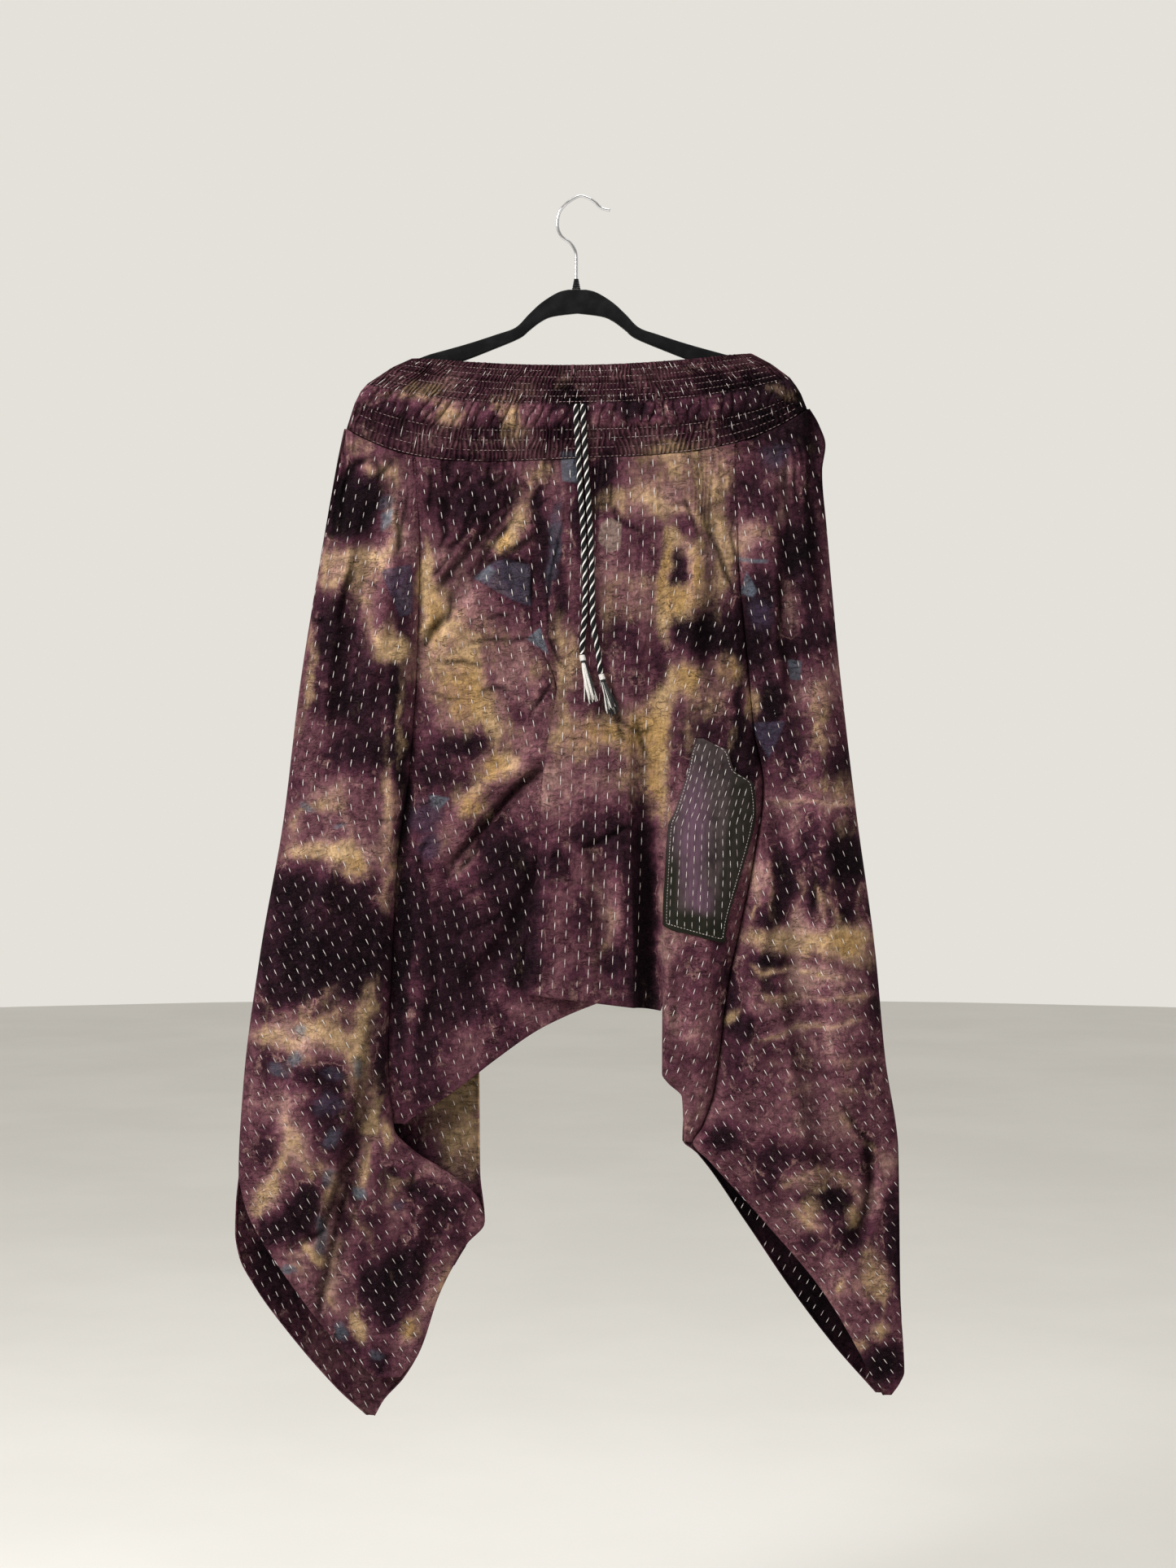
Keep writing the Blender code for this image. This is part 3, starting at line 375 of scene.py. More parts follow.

# Blots on the front: x, z, half width, half height, lean in degrees, strength
# Most are dark dye, but the narrow upright ones along the left valley, at x -176 to -182, are painted
# shade, and the one at x -3, z -209 is the painted shadow inside the buttonhole
FRONT_DARK = (
    (-225, -312, 25, 36, 8, .95), (-240, -336, 12, 18, 10, .4), (-212, -290, 14, 16, 0, .5),
    (-226, -478, 34, 40, 8, .5), (-212, -520, 34, 30, 8, .4), (-250, -430, 18, 26, 10, .4),
    (-218, -560, 40, 18, 0, .55), (-180, -480, 6, 70, 0, .5), (-176, -560, 5, 60, 0, .6),
    (-286, -750, 34, 54, 14, .85), (-244, -772, 28, 44, 14, .85), (-232, -706, 24, 22, 10, .5),
    (-292, -694, 26, 16, 10, .6), (-208, -760, 16, 60, 4, .6), (-178, -690, 7, 90, 0, .9),
    (-182, -800, 7, 60, 0, .7), (-260, -806, 20, 18, 10, .5), (-310, -816, 14, 16, 10, .4),
    (-308, -874, 22, 16, 0, .55), (-254, -882, 22, 12, 0, .6), (-254, -908, 20, 18, 10, .5),
    (-200, -880, 6, 40, 10, .6), (-244, -946, 16, 20, 20, .5), (-310, -946, 12, 24, 0, .35),
    (-300, -1034, 26, 16, -30, .85), (-272, -1012, 14, 20, -10, .6), (-175, -988, 22, 14, 20, .7),
    (-150, -1006, 16, 16, 0, .4), (-214, -1046, 16, 28, 30, .5), (-196, -1090, 26, 26, 30, .8),
    (-232, -1024, 6, 30, 14, .5), (-160, -1050, 18, 34, 20, .45), (-186, -1130, 18, 10, 20, .5),
    (-232, -1150, 12, 12, 0, .5), (-206, -1172, 14, 14, 0, .5), (-128, -1030, 12, 16, 0, .4),
    (-150, -900, 22, 34, 10, .35), (-122, -312, 26, 30, 14, .45), (-86, -312, 16, 26, 30, .35),
    (-132, -274, 30, 14, 0, .35), (-70, -376, 20, 14, 10, .35), (-58, -402, 14, 18, 0, .4),
    (-38, -340, 7, 60, 4, .55), (-26, -400, 6, 44, 0, .5), (-116, -552, 20, 10, 0, .7),
    (-150, -566, 14, 22, 10, .45), (-142, -590, 22, 12, 0, .4), (-60, -520, 12, 8, 20, .3),
    (-80, -658, 26, 26, 30, .6), (-62, -712, 26, 44, 0, .6), (-118, -744, 36, 36, 20, .5),
    (-60, -776, 22, 24, 0, .65), (-128, -800, 30, 26, 20, .45), (-160, -700, 9, 60, 0, .4),
    (-156, -860, 14, 40, 10, .4), (-90, -830, 30, 14, 20, .35), (8, -296, 12, 26, 0, .6),
    (26, -286, 7, 26, 0, .8), (2, -342, 9, 26, 0, .4), (50, -352, 14, 18, 0, .25),
    (36, -452, 16, 30, 0, .4), (58, -458, 8, 36, 0, .3), (20, -516, 7, 12, 0, .4),
    (30, -638, 34, 20, 0, .5), (-24, -676, 12, 16, 0, .45), (48, -700, 8, 40, 0, .45),
    (4, -716, 9, 22, 0, .4), (34, -776, 9, 20, 0, .5), (66, -768, 12, 60, 0, 1.0),
    (66, -690, 10, 40, 0, .8), (62, -620, 8, 40, 0, .4), (98, -380, 9, 20, -8, .85),
    (116, -280, 5, 20, -8, .35), (110, -338, 12, 16, 0, .35), (128, -446, 28, 18, 10, .74),
    (148, -424, 12, 16, 0, .4), (108, -430, 10, 10, 0, .5), (76, -480, 5, 24, 0, .4),
    (124, -540, 26, 22, 0, .5), (156, -570, 9, 50, 6, .8), (158, -500, 4, 60, 0, .7),
    (140, -700, 8, 60, 0, .5), (104, -790, 14, 24, 0, .3), (166, -300, 14, 24, 0, .35),
    (190, -316, 12, 20, 0, .4), (222, -352, 15, 28, 0, .76), (236, -300, 8, 34, 0, .5),
    (212, -250, 22, 16, 0, .4), (182, -412, 16, 34, 8, .8), (174, -462, 14, 22, 0, .6),
    (238, -436, 12, 26, 0, .55), (232, -400, 8, 18, 0, .5), (210, -452, 12, 10, 0, .6),
    (194, -512, 8, 22, 0, .9), (186, -546, 16, 16, 0, .5), (212, -560, 12, 26, 10, .4),
    (258, -574, 18, 20, 10, .55), (172, -590, 9, 40, 6, .6), (206, -680, 13, 22, 0, .85),
    (262, -672, 17, 34, 6, .9), (233, -706, 10, 18, 0, .8), (188, -718, 12, 15, 0, .8),
    (262, -728, 14, 12, 0, .7), (185, -766, 16, 11, 0, .9), (190, -744, 8, 9, 0, .6),
    (238, -757, 6, 11, 0, .8), (230, -640, 8, 26, 0, .4), (296, -706, 8, 24, 0, .5),
    (182, -794, 12, 8, 0, .5), (296, -800, 9, 24, 0, .6), (164, -832, 14, 10, 20, .7),
    (150, -800, 6, 30, 0, .5), (216, -866, 24, 10, 20, .35), (156, -872, 14, 24, 20, .35),
    (288, -878, 8, 30, 0, .35), (218, -964, 30, 12, 14, .45), (184, -976, 18, 12, 30, .3),
    (286, -958, 6, 16, 0, .45), (254, -1008, 24, 13, 10, .85), (262, -1040, 14, 14, 0, .5),
    (286, -1054, 12, 16, 0, .45), (318, -1050, 8, 44, 0, .7), (232, -1052, 10, 10, 20, .4),
    (306, -1176, 18, 22, 0, .85), (300, -1112, 8, 12, 0, .4), (140, -948, 14, 14, 40, .6),
    (100, -218, 90, 14, 6, .35), (52, -218, 16, 10, 0, .6), (190, -224, 42, 28, 0, .5),
    (200, -192, 34, 14, 0, .35), (-3, -209, 5, 7, 0, .9), (150, -186, 36, 10, 4, .5),
    (-190, -222, 26, 14, 0, .35), (-100, -238, 26, 8, 0, .35), (-12, -200, 12, 14, 0, .4),
    (220, -204, 10, 18, 0, .6), (-20, -232, 14, 10, 0, .4),
)
FRONT_TAN = (
    (-252, -372, 10, 18, 0, .4), (-214, -374, 16, 16, 10, .6), (-190, -456, 14, 10, 20, .75),
    (-176, -530, 4, 40, 4, .5), (-274, -490, 5, 34, 8, .55), (-194, -612, 6, 50, 2, .45),
    (-274, -660, 18, 8, 0, .6), (-236, -662, 14, 8, 0, .7), (-222, -676, 9, 12, -30, .8),
    (-284, -636, 8, 16, 0, .4), (-250, -606, 16, 8, -24, .4), (-310, -846, 20, 8, 6, .4),
    (-256, -838, 20, 10, 10, .62), (-230, -846, 16, 14, 20, .62), (-212, -824, 8, 30, 8, .7),
    (-222, -872, 10, 20, 10, .6), (-280, -862, 10, 9, 0, .4), (-222, -910, 14, 22, 20, .4),
    (-214, -932, 8, 12, 10, .8), (-196, -940, 6, 12, 0, .7), (-218, -976, 6, 20, 10, .7),
    (-252, -1002, 5, 16, 10, .7), (-316, -996, 10, 12, 40, .5), (-270, -1058, 14, 5, 40, .8),
    (-280, -1078, 10, 4, 30, .5), (-222, -1134, 7, 14, -10, .85), (-172, -1138, 9, 13, 20, .8),
    (-142, -1100, 6, 30, 20, .5), (-190, -990, 8, 10, 0, .35), (-152, -388, 8, 30, 6, 1.0),
    (-146, -424, 12, 26, 16, .9), (-120, -440, 26, 24, 20, .55), (-134, -480, 24, 26, 0, .65),
    (-104, -500, 9, 44, -16, .8), (-122, -520, 16, 18, 0, .6), (-86, -526, 12, 22, -10, .5),
    (-78, -462, 26, 16, 0, .3), (-92, -578, 14, 20, 20, .75), (-74, -576, 14, 14, 30, .5),
    (-112, -616, 18, 14, 34, .8), (-136, -642, 10, 12, 34, .4), (-76, -352, 7, 12, 50, .75),
    (-58, -326, 7, 20, 20, .6), (-32, -274, 12, 12, 0, .6), (-50, -284, 8, 14, 0, .4),
    (-46, -480, 8, 12, 20, .4), (-62, -546, 10, 14, 0, .4), (-14, -458, 14, 30, -14, .6),
    (-22, -520, 12, 36, 0, .5), (16, -536, 30, 18, 0, .65), (60, -534, 26, 20, 0, .7),
    (76, -556, 9, 50, 0, .8), (60, -570, 18, 24, 0, .45), (86, -606, 6, 34, 0, .7),
    (36, -586, 22, 8, 0, .3), (-6, -560, 14, 10, 0, .35), (62, -276, 18, 14, 0, .5),
    (52, -304, 26, 9, -14, .7), (80, -312, 12, 10, -20, .8), (46, -322, 16, 7, 0, .35),
    (30, -400, 14, 14, 0, .45), (60, -392, 20, 10, 6, .5), (52, -420, 22, 12, 0, .35),
    (26, -440, 8, 20, 0, .3), (20, -488, 10, 10, 0, .35), (120, -284, 26, 18, 0, .55),
    (96, -272, 8, 14, 0, .35), (142, -320, 10, 40, -4, .6), (124, -320, 9, 18, -10, .4),
    (146, -370, 9, 30, -4, .65), (112, -352, 10, 12, 0, .6), (86, -378, 5, 36, 0, .8),
    (92, -340, 8, 10, 0, .8), (118, -382, 8, 22, -6, .85), (102, -414, 16, 12, 0, .85),
    (88, -436, 6, 20, 0, .6), (132, -408, 12, 16, 0, .5), (102, -488, 14, 16, 0, .9),
    (84, -500, 6, 20, 0, .7), (146, -482, 16, 16, 10, .6), (128, -512, 18, 12, 0, .45),
    (110, -540, 8, 14, 0, .35), (152, -548, 5, 24, 0, .35), (184, -342, 16, 12, 10, .5),
    (164, -356, 8, 12, 0, .5), (175, -512, 8, 14, 0, .8), (208, -400, 8, 10, 0, .3),
    (236, -528, 14, 30, 6, .55), (262, -596, 20, 12, 10, .5), (240, -490, 9, 10, 0, .3),
    (222, -596, 20, 10, 0, .3), (266, -632, 12, 10, 10, .35), (172, -742, 12, 9, 0, .7),
    (214, -748, 20, 10, 0, .6), (264, -752, 24, 13, 0, .9), (286, -770, 14, 8, 0, .5),
    (200, -738, 10, 8, 0, .5), (208, -806, 20, 6, 0, .35), (272, -806, 20, 7, 0, .35),
    (262, -912, 12, 20, 0, .3), (232, -1020, 9, 15, 10, .5), (276, -1028, 7, 10, 0, .8),
    (234, -992, 24, 6, 0, .4), (292, -1090, 14, 18, 0, .55), (264, -1096, 5, 8, 0, .7),
    (302, -1140, 10, 8, 20, .7), (282, -1150, 10, 8, 0, .55), (152, -822, 4, 9, 20, .6),
    (100, -880, 6, 30, 0, .2), (-160, -196, 28, 8, -10, .65), (-134, -220, 14, 13, 0, .62),
    (-78, -213, 18, 10, 0, .55), (-64, -238, 14, 15, 0, .65), (-222, -248, 14, 9, 20, .4),
    (-56, -196, 14, 8, 0, .3), (96, -256, 50, 10, 0, .5), (202, -200, 12, 5, 20, .4),
    (-16, -184, 14, 8, 0, .3),
)
FRONT_PALE = (
    (-114, -665, 6, 28, 32, 1.0), (-250, -356, 14, 9, -10, .8), (-238, -380, 16, 8, -10, .7),
    (-192, -372, 8, 12, 0, .5), (-256, -532, 22, 12, 0, .45), (-250, -600, 28, 10, -20, .5),
    (-262, -636, 30, 26, 0, .35), (-306, -700, 9, 30, 10, .3), (-254, -724, 16, 12, 0, .5),
    (-206, -650, 12, 34, 0, .3), (-300, -836, 30, 14, 6, .6), (-250, -852, 40, 16, 6, .5),
    (-300, -906, 18, 26, 0, .5), (-282, -944, 14, 30, -24, .7), (-226, -890, 16, 30, 16, .5),
    (-330, -880, 8, 30, 0, .3), (-206, -960, 18, 18, 0, .4), (-318, -1010, 16, 20, 30, .4),
    (-250, -1030, 12, 26, 14, .4), (-236, -1076, 9, 34, 10, .8), (-212, -1066, 9, 34, 28, .6),
    (-150, -1086, 14, 40, 20, .4), (-130, -980, 26, 14, 20, .3), (-180, -1036, 9, 26, 20, .4),
    (-246, -1110, 10, 16, 0, .6), (-150, -470, 20, 50, 0, .3), (-60, -510, 24, 40, 0, .55),
    (-40, -570, 14, 30, 0, .5), (-110, -400, 26, 20, 10, .4), (-96, -716, 12, 20, 0, .3),
    (-30, -750, 10, 40, 0, .45), (-26, -600, 20, 20, 0, .4), (34, -380, 30, 30, 0, .35),
    (60, -430, 20, 26, 0, .35), (120, -330, 30, 40, 0, .35), (108, -372, 20, 14, 0, .3),
    (92, -760, 9, 50, 0, .5), (120, -820, 16, 30, 0, .3), (84, -680, 8, 60, 0, .4),
    (168, -340, 14, 20, 0, .5), (196, -286, 12, 12, 0, .4), (209, -270, 7, 14, 0, .8),
    (206, -320, 7, 12, 0, .8), (216, -426, 12, 14, 0, .7), (160, -478, 6, 26, 0, .5),
    (226, -500, 16, 20, 0, .4), (240, -610, 44, 8, 0, .6), (214, -650, 8, 24, 0, .4),
    (244, -656, 5, 24, 0, .4), (176, -690, 8, 34, 0, .5), (216, -734, 20, 8, 0, .6),
    (280, -740, 20, 14, 0, .5), (230, -790, 40, 10, 0, .45), (200, -812, 26, 8, 0, .5),
    (250, -840, 44, 12, 0, .3), (240, -900, 50, 26, 10, .35), (190, -930, 26, 16, 0, .3),
    (244, -984, 30, 7, 0, .5), (308, -984, 9, 24, 10, .7), (290, -1012, 10, 14, 30, .6),
    (280, -1096, 26, 22, 0, .4), (300, -1146, 16, 12, 0, .4), (216, -1030, 20, 16, 40, .35),
    (110, -280, 30, 16, 0, .3), (-140, -196, 50, 12, 0, .2), (60, -180, 60, 8, 0, .3),
    (190, -214, 20, 8, 10, .3),
)

# Veins that the dye left pale on the front: half width, strength, then their x and z
VEINS = (
    (5, .7, (-220, -266), (-205, -276), (-189, -272), (-178, -291)),
    (7, .75, (-290, -372), (-262, -362), (-224, -360), (-197, -364), (-184, -352), (-189, -280)),
    (8, .8, (-262, -398), (-233, -381), (-216, -406), (-205, -438), (-189, -461), (-170, -465)),
    (4, .5, (-268, -412), (-280, -470), (-288, -520), (-292, -560)),
    (5, .55, (-289, -638), (-282, -620), (-257, -609), (-236, -620), (-225, -640), (-230, -656)),
    (5, .85, (-291, -657), (-276, -661), (-255, -655), (-238, -665), (-224, -661), (-213, -667)),
    (5, 1.0, (-213, -667), (-226, -680), (-232, -688)),
    (5, .7, (-193, -580), (-190, -640), (-192, -690), (-197, -720)),
    (8, .7, (-332, -839), (-297, -837), (-288, -851), (-255, -828), (-213, -807)),
    (5, .5, (-330, -800), (-300, -822), (-268, -815), (-240, -790)),
    (5, .95, (-330, -1027), (-325, -1011), (-310, -992), (-301, -976), (-288, -952), (-284, -943)),
    (3, .7, (-319, -1009), (-304, -996)),
    (5, .6, (-299, -899), (-288, -952), (-273, -970), (-266, -987)),
    (5, .5, (-301, -923), (-262, -965), (-242, -996), (-222, -1034), (-206, -1059)),
    (4, .6, (-300, -1060), (-279, -1065), (-262, -1050), (-250, -1020)),
    (5, .7, (-236, -1040), (-242, -1062), (-249, -1086), (-251, -1104), (-240, -1126)),
    (4, .5, (-196, -890), (-212, -930), (-222, -970), (-216, -1010)),
    (4, .5, (-150, -970), (-176, -990), (-200, -1010)),
    (4, .45, (-130, -1060), (-150, -1080), (-160, -1120)),
    (5, .8, (-96, -352), (-83, -350), (-70, -336), (-58, -324)),
    (4, .6, (21, -714), (32, -730), (28, -743), (15, -772)),
    (3, .5, (2, -690), (14, -694), (24, -702)),
    (4, .8, (60, -300), (84, -318), (100, -316), (122, -330), (140, -356)),
    (4, .7, (86, -345), (84, -380), (80, -420), (84, -440)),
    (2.5, .65, (188, -611), (230, -609), (276, -611)),
    (2.5, .75, (175, -664), (174, -686), (176, -712), (170, -730)),
    (2.5, .65, (188, -662), (190, -684), (187, -708), (196, -730)),
    (2.5, .9, (236, -688), (240, -708), (240, -734)),
    (3, .6, (214, -680), (222, -694), (214, -716), (222, -738)),
    (2.5, .6, (252, -680), (246, -700), (258, -726), (264, -744)),
    (3, .5, (284, -690), (280, -720), (286, -744)),
    (9, .75, (186, -744), (216, -752), (250, -750), (290, -748)),
    (3, .85, (170, -770), (182, -784), (212, -776), (241, -779), (276, -784)),
    (3, .6, (166, -800), (190, -806), (222, -800), (262, -808), (300, -802)),
    (2.5, .8, (176, -846), (196, -839), (215, -829), (248, -834), (290, -826)),
    (5, .45, (180, -872), (220, -864), (262, -868), (304, -862)),
    (3, .4, (196, -900), (240, -892), (290, -898)),
    (5, .75, (200, -998), (212, -986), (236, -979), (264, -985), (280, -1003), (282, -1024)),
    (3, .5, (212, -1012), (226, -1032), (248, -1040)),
    (4, .5, (252, -920), (276, -946), (300, -960), (314, -980)),
    (4, .5, (282, -1040), (296, -1070), (304, -1110), (300, -1140)),
)

# Brightest spots, nearly gold: x, z, half width, half height
GOLD = (
    (-76, -352, 7, 12), (-120, -500, 26, 30), (86, -378, 5, 36), (118, -382, 8, 22), (102, -412, 16, 12),
    (102, -488, 14, 16), (64, -540, 30, 22), (76, -586, 9, 40), (264, -752, 20, 9), (-92, -578, 12, 18),
    (-112, -616, 16, 12), (16, -536, 24, 12), (-172, -1138, 8, 9), (146, -480, 12, 12),
    (-146, -424, 8, 24), (-222, -676, 8, 10), (-96, -258, 10, 9),
)

# Blots on the back
BACK_DARK = (
    (-230, -340, 34, 46, 10, .8), (-200, -480, 26, 60, 0, .7), (-262, -620, 30, 50, 8, .9),
    (-212, -770, 34, 50, 0, .8), (-290, -860, 26, 50, 0, .8), (-250, -1040, 50, 40, 24, .8),
    (-300, -1060, 24, 44, 0, .9), (-110, -340, 30, 40, 0, .7), (-40, -300, 26, 34, 0, .8),
    (60, -360, 40, 40, 10, .7), (-90, -520, 50, 36, 0, .8), (30, -520, 30, 54, 0, .8),
    (-120, -680, 34, 60, 0, .9), (-10, -680, 44, 44, 20, .7), (90, -640, 34, 60, 0, .8),
    (40, -780, 44, 24, 0, .8), (130, -480, 20, 44, 0, .7), (210, -330, 26, 50, 0, .8),
    (196, -560, 24, 60, 0, .7), (250, -680, 26, 44, 10, .9), (190, -810, 34, 40, 0, .8),
    (262, -900, 34, 40, 0, .7), (170, -980, 40, 34, 24, 1.0), (240, -1080, 50, 44, 30, .9),
    (300, -1160, 30, 30, 0, .8), (100, -215, 90, 24, 0, .8), (-160, -220, 40, 22, 0, .6),
    (-190, -950, 26, 30, 0, .6), (150, -1020, 30, 50, 36, 1.0), (230, -1130, 26, 50, 40, 1.0),
)
BACK_TAN = (
    (-180, -300, 16, 20, 0, .7), (-246, -430, 16, 34, 14, .8), (-180, -590, 9, 44, 0, .7),
    (-232, -690, 34, 9, 10, .8), (-300, -740, 10, 40, 8, .6), (-180, -860, 26, 10, 0, .6),
    (-150, -1010, 20, 14, 30, .8), (-60, -400, 44, 20, 24, .8), (-130, -420, 12, 30, 0, .7),
    (0, -430, 16, 34, 0, .8), (90, -460, 24, 30, 0, .8), (-40, -600, 44, 12, 0, .8),
    (50, -640, 10, 40, 0, .7), (-60, -770, 34, 12, 10, .6), (120, -760, 9, 40, 0, .7),
    (180, -430, 12, 40, 0, .7), (236, -480, 10, 50, 8, .7), (216, -740, 44, 9, 0, .8),
    (170, -700, 9, 34, 0, .6), (230, -1000, 34, 9, 24, .7), (292, -1020, 12, 30, 0, .6),
    (-60, -210, 30, 20, 0, .8), (-20, -250, 24, 10, 0, .6), (-126, -890, 26, 26, 10, .9),
    (-112, -948, 12, 26, 0, .7),
)

# Old pieces of blue and grey cloth that show through: shade from 0, violet, to 1, pale teal,
# then the outline. One piece is bleached, with a shade past 1.
OLD_CLOTH = (
    (.1, (-199, -378), (-168, -371), (-167, -421), (-180, -424), (-188, -405)),
    (.15, (-108, -385), (-88, -369), (-74, -366), (-50, -372), (-48, -414), (-66, -408)),
    (.6, (-108, -385), (-92, -372), (-84, -378), (-92, -390)),
    (.8, (-54, -446), (-40, -434), (-31, -462)),
    (.6, (-20, -258), (0, -258), (1, -290), (-18, -288)),
    (.7, (-152, -600), (-130, -605), (-142, -617), (-148, -612)),
    (.75, (157, -363), (172, -366), (188, -367), (187, -371), (170, -370), (157, -367)),
    (.55, (166, -377), (177, -398), (172, -404), (160, -400)),
    (.65, (207, -466), (221, -468), (219, -488), (209, -486)),
    (.1, (170, -530), (205, -528), (188, -566)),
    (1.6, (30, -324), (42, -330), (40, -356), (28, -360), (17, -347), (21, -330)),
)

# Blue and grey blots without an edge: x, z, half width, half height, lean, shade
BLUE_BLOTS = (
    (-274, -838, 8, 8, 0, .75), (-288, -864, 8, 12, 30, .65), (-304, -876, 14, 9, 30, .3),
    (-250, -878, 16, 8, 0, .1), (-238, -636, 8, 6, -30, .5), (-270, -612, 10, 6, 20, .6),
    (-222, -1003, 9, 8, 0, 1.0), (-262, -1042, 8, 20, 12, .6), (-290, -1078, 12, 5, 30, .8),
    (-240, -1140, 9, 12, -20, .5), (-206, -1164, 12, 7, 20, .3), (-254, -908, 18, 14, 0, .05),
    (-246, -944, 10, 14, 20, .2), (-158, -622, 18, 20, 0, .0), (-180, -1012, 10, 8, 0, .05),
    (196, -264, 22, 18, 0, .05), (-222, -868, 8, 14, 0, .7), (-150, -650, 14, 18, 0, .0),
    (182, -420, 14, 20, 0, .0), (-192, -308, 11, 12, 0, .2), (-189, -327, 8, 13, 10, .95),
    (-252, -985, 7, 14, 10, .4), (-28, -352, 7, 60, 12, .25),
)

# Lean of the stitch rows down each panel: z, degrees from upright, to the left above 0 going up
ROW_LEAN = {
    "left_leg_front": ((-260, -11), (-560, -10), (-640, 18), (-800, 27), (-1187, 33)),
    "belly": ((-260, 10), (-480, 9), (-620, 16), (-808, 12), (-932, 22)),
    "pleat": ((-260, 3), (-420, -3), (-600, -2), (-808, -3)),
    "belly_right": ((-260, 2), (-360, 0), (-430, -16), (-620, -12), (-760, -16), (-950, -22)),
    "right_leg_front": ((-260, 14), (-420, 12), (-640, 20), (-850, 27), (-1050, 40),
                        (-1205, 34)),
    "left_leg_back": ((-260, 6), (-700, 12), (-1228, 30)),
    "centre_back": ((-260, -4), (-600, 4), (-870, 8)),
    "right_leg_back": ((-260, -8), (-700, -14), (-1205, -34)),
}

# Where the running stitches go: panel, node, then the limits of x and z
STITCHED = (
    ("left_leg_front", "left_leg_front", (-345, -95, -1185, -262)),
    ("belly", "centre_front", (-195, -8, -930, -262)),
    ("pleat", "centre_front", (-50, 82, -806, -262)),
    ("belly_right", "centre_front", (84, 185, -948, -262)),
    ("right_leg_front", "right_leg_front", (100, 328, -1200, -232)),
    ("left_leg_back", "left_leg_back", (-350, -95, -1225, -262)),
    ("centre_back", "centre_back", (-170, 160, -840, -262)),
    ("right_leg_back", "right_leg_back", (100, 328, -1200, -240)),
)

# Legs and back: side, left and right edge, depths, heights that the rows keep to, width for counting
# columns, lower edge, and the flat size and area of the cloth in metres
PANELS = (
    ("left_leg_front", FRONT, LEFT_OUTER, LEFT_INNER, LEFT_FRONT_DEPTH,
     (PANEL_TOP, -937, -1032, -1187), 201.25, None, (0.30, 0.93), 0.17),
    ("right_leg_front", FRONT, RIGHT_INNER, SIDE_RIGHT, RIGHT_FRONT_DEPTH,
     (PANEL_TOP, -951, -1205), 201.25, None, (0.26, 0.95), 0.15),
    ("left_leg_back", BACK, LEFT_BACK_OUTER, LEFT_BACK_INNER, LEFT_BACK_DEPTH,
     (PANEL_TOP, -842, -1032, -1228), 201.25, None, (0.32, 0.97), 0.19),
    ("right_leg_back", BACK, RIGHT_BACK_INNER, SIDE_RIGHT, RIGHT_BACK_DEPTH,
     (PANEL_TOP, -867, -951, -1205), 201.25, None, (0.28, 0.95), 0.16),
    ("centre_back", BACK, LEFT_BACK_INNER, RIGHT_BACK_INNER, BACK_DEPTH,
     (PANEL_TOP, -842), 375, BACK_BOTTOM, (0.36, 0.60), 0.20),
)

# Outline of the patch: z, left x, right x
PATCH = ((-546, 116, 122), (-558, 111, 146), (-577, 107, 153), (-591, 103, 172), (-619, 94, 175),
         (-632, 89, 173), (-677, 86, 161), (-726, 84, 147), (-731, 84, 146), (-748, 141, 143.5))

# Hanger between its neck and the waist: x from the centre line, z
HANGER_NECK_TOP = ((9, -93), (20, -96), (36, -106), (49, -118), (62, -131), (81, -138),
                   (112, -148), (148, -158))
HANGER_UNDER = ((216, -203), (203, -198), (185, -190), (165, -182), (146, -175), (115, -165),
                (84, -153), (58, -142), (48, -134), (36, -125), (24, -120), (0, -117))

# Turned collar of the hanger: radius, height over its foot
COLLAR = ((4.2, 0), (4.3, 1.2), (3.7, 1.6), (3.9, 3.4), (3.3, 3.8), (3.4, 5.6), (2.9, 6.0),
          (3.0, 7.8), (2.5, 8.3), (2.5, 10), (2.2, 10.5))

# Wire hook: x, z
HOOK_ROUTE = ((-4, -92.7), (-4, -76), (-4, -62), (-5, -54), (-10, -46), (-18, -40), (-22, -33),
              (-23, -25), (-21, -15), (-16, -8), (-9, -2.5), (0, 1.6), (9, -1.0), (15, -5),
              (21, -10.5), (30, -13))

# Free ends of the drawstring, from the buttonhole down: x, y, z
CORD_LEFT = ((-4, -22.2, -212), (-4, -22.3, -226), (-3, -21.4, -243), (-1.8, -21.2, -262),
             (-0.3, -21.9, -292), (2.2, -23.0, -325), (4.0, -24.4, -362), (5.0, -26.0, -400),
             (3.8, -27.1, -430), (1.5, -28.0, -462))
CORD_RIGHT = ((2.6, -22.2, -212), (3.2, -22.3, -226), (4.2, -21.4, -243), (5.2, -21.4, -262),
              (7.2, -22.1, -292), (9.3, -23.1, -325), (11.2, -24.5, -362), (12.0, -26.1, -400),
              (12.9, -27.0, -430), (17.2, -27.8, -456), (20.5, -28.3, -481))

# Line between both of them: x, z
CORDS_MIDDLE = ((-2, -205), (0, -262), (5, -330), (9, -400), (9, -440), (20, -500))

# Tips of the tassels: x, y, z
TASSEL_LEFT = (13, -31.5, -511)
TASSEL_RIGHT = (34, -31.7, -524)

# Surfaces of the pieces that stitches and the patch are laid on, by node
SURFACES = {}


# Curves and noise over arrays of places

def mix(a, b, t):
    return a + (b - a) * t


def ease(t):
    t = np.clip(t, 0.0, 1.0)
    return t * t * (3 - 2 * t)


def wave(phase):
    """A swell from 0 to 1 and back for every whole phase."""
    return 0.5 + 0.5 * np.cos(2 * np.pi * phase)


def spread(t):
    """Even steps pushed towards both ends, where a section turns round."""
    return (1 - np.cos(np.pi * t)) / 2


def arch(t, power):
    """Height of a rounded section: 0 at both ends and 1 at the middle."""
    return np.maximum(0.0, 1 - np.abs(2 * t - 1) ** power) ** (1 / power)


def taper(along, rate, start=0.0):
    """How much of a line is left along it, less at both of its ends."""
    return ease(rate * np.minimum(along, 1 - along) + start)


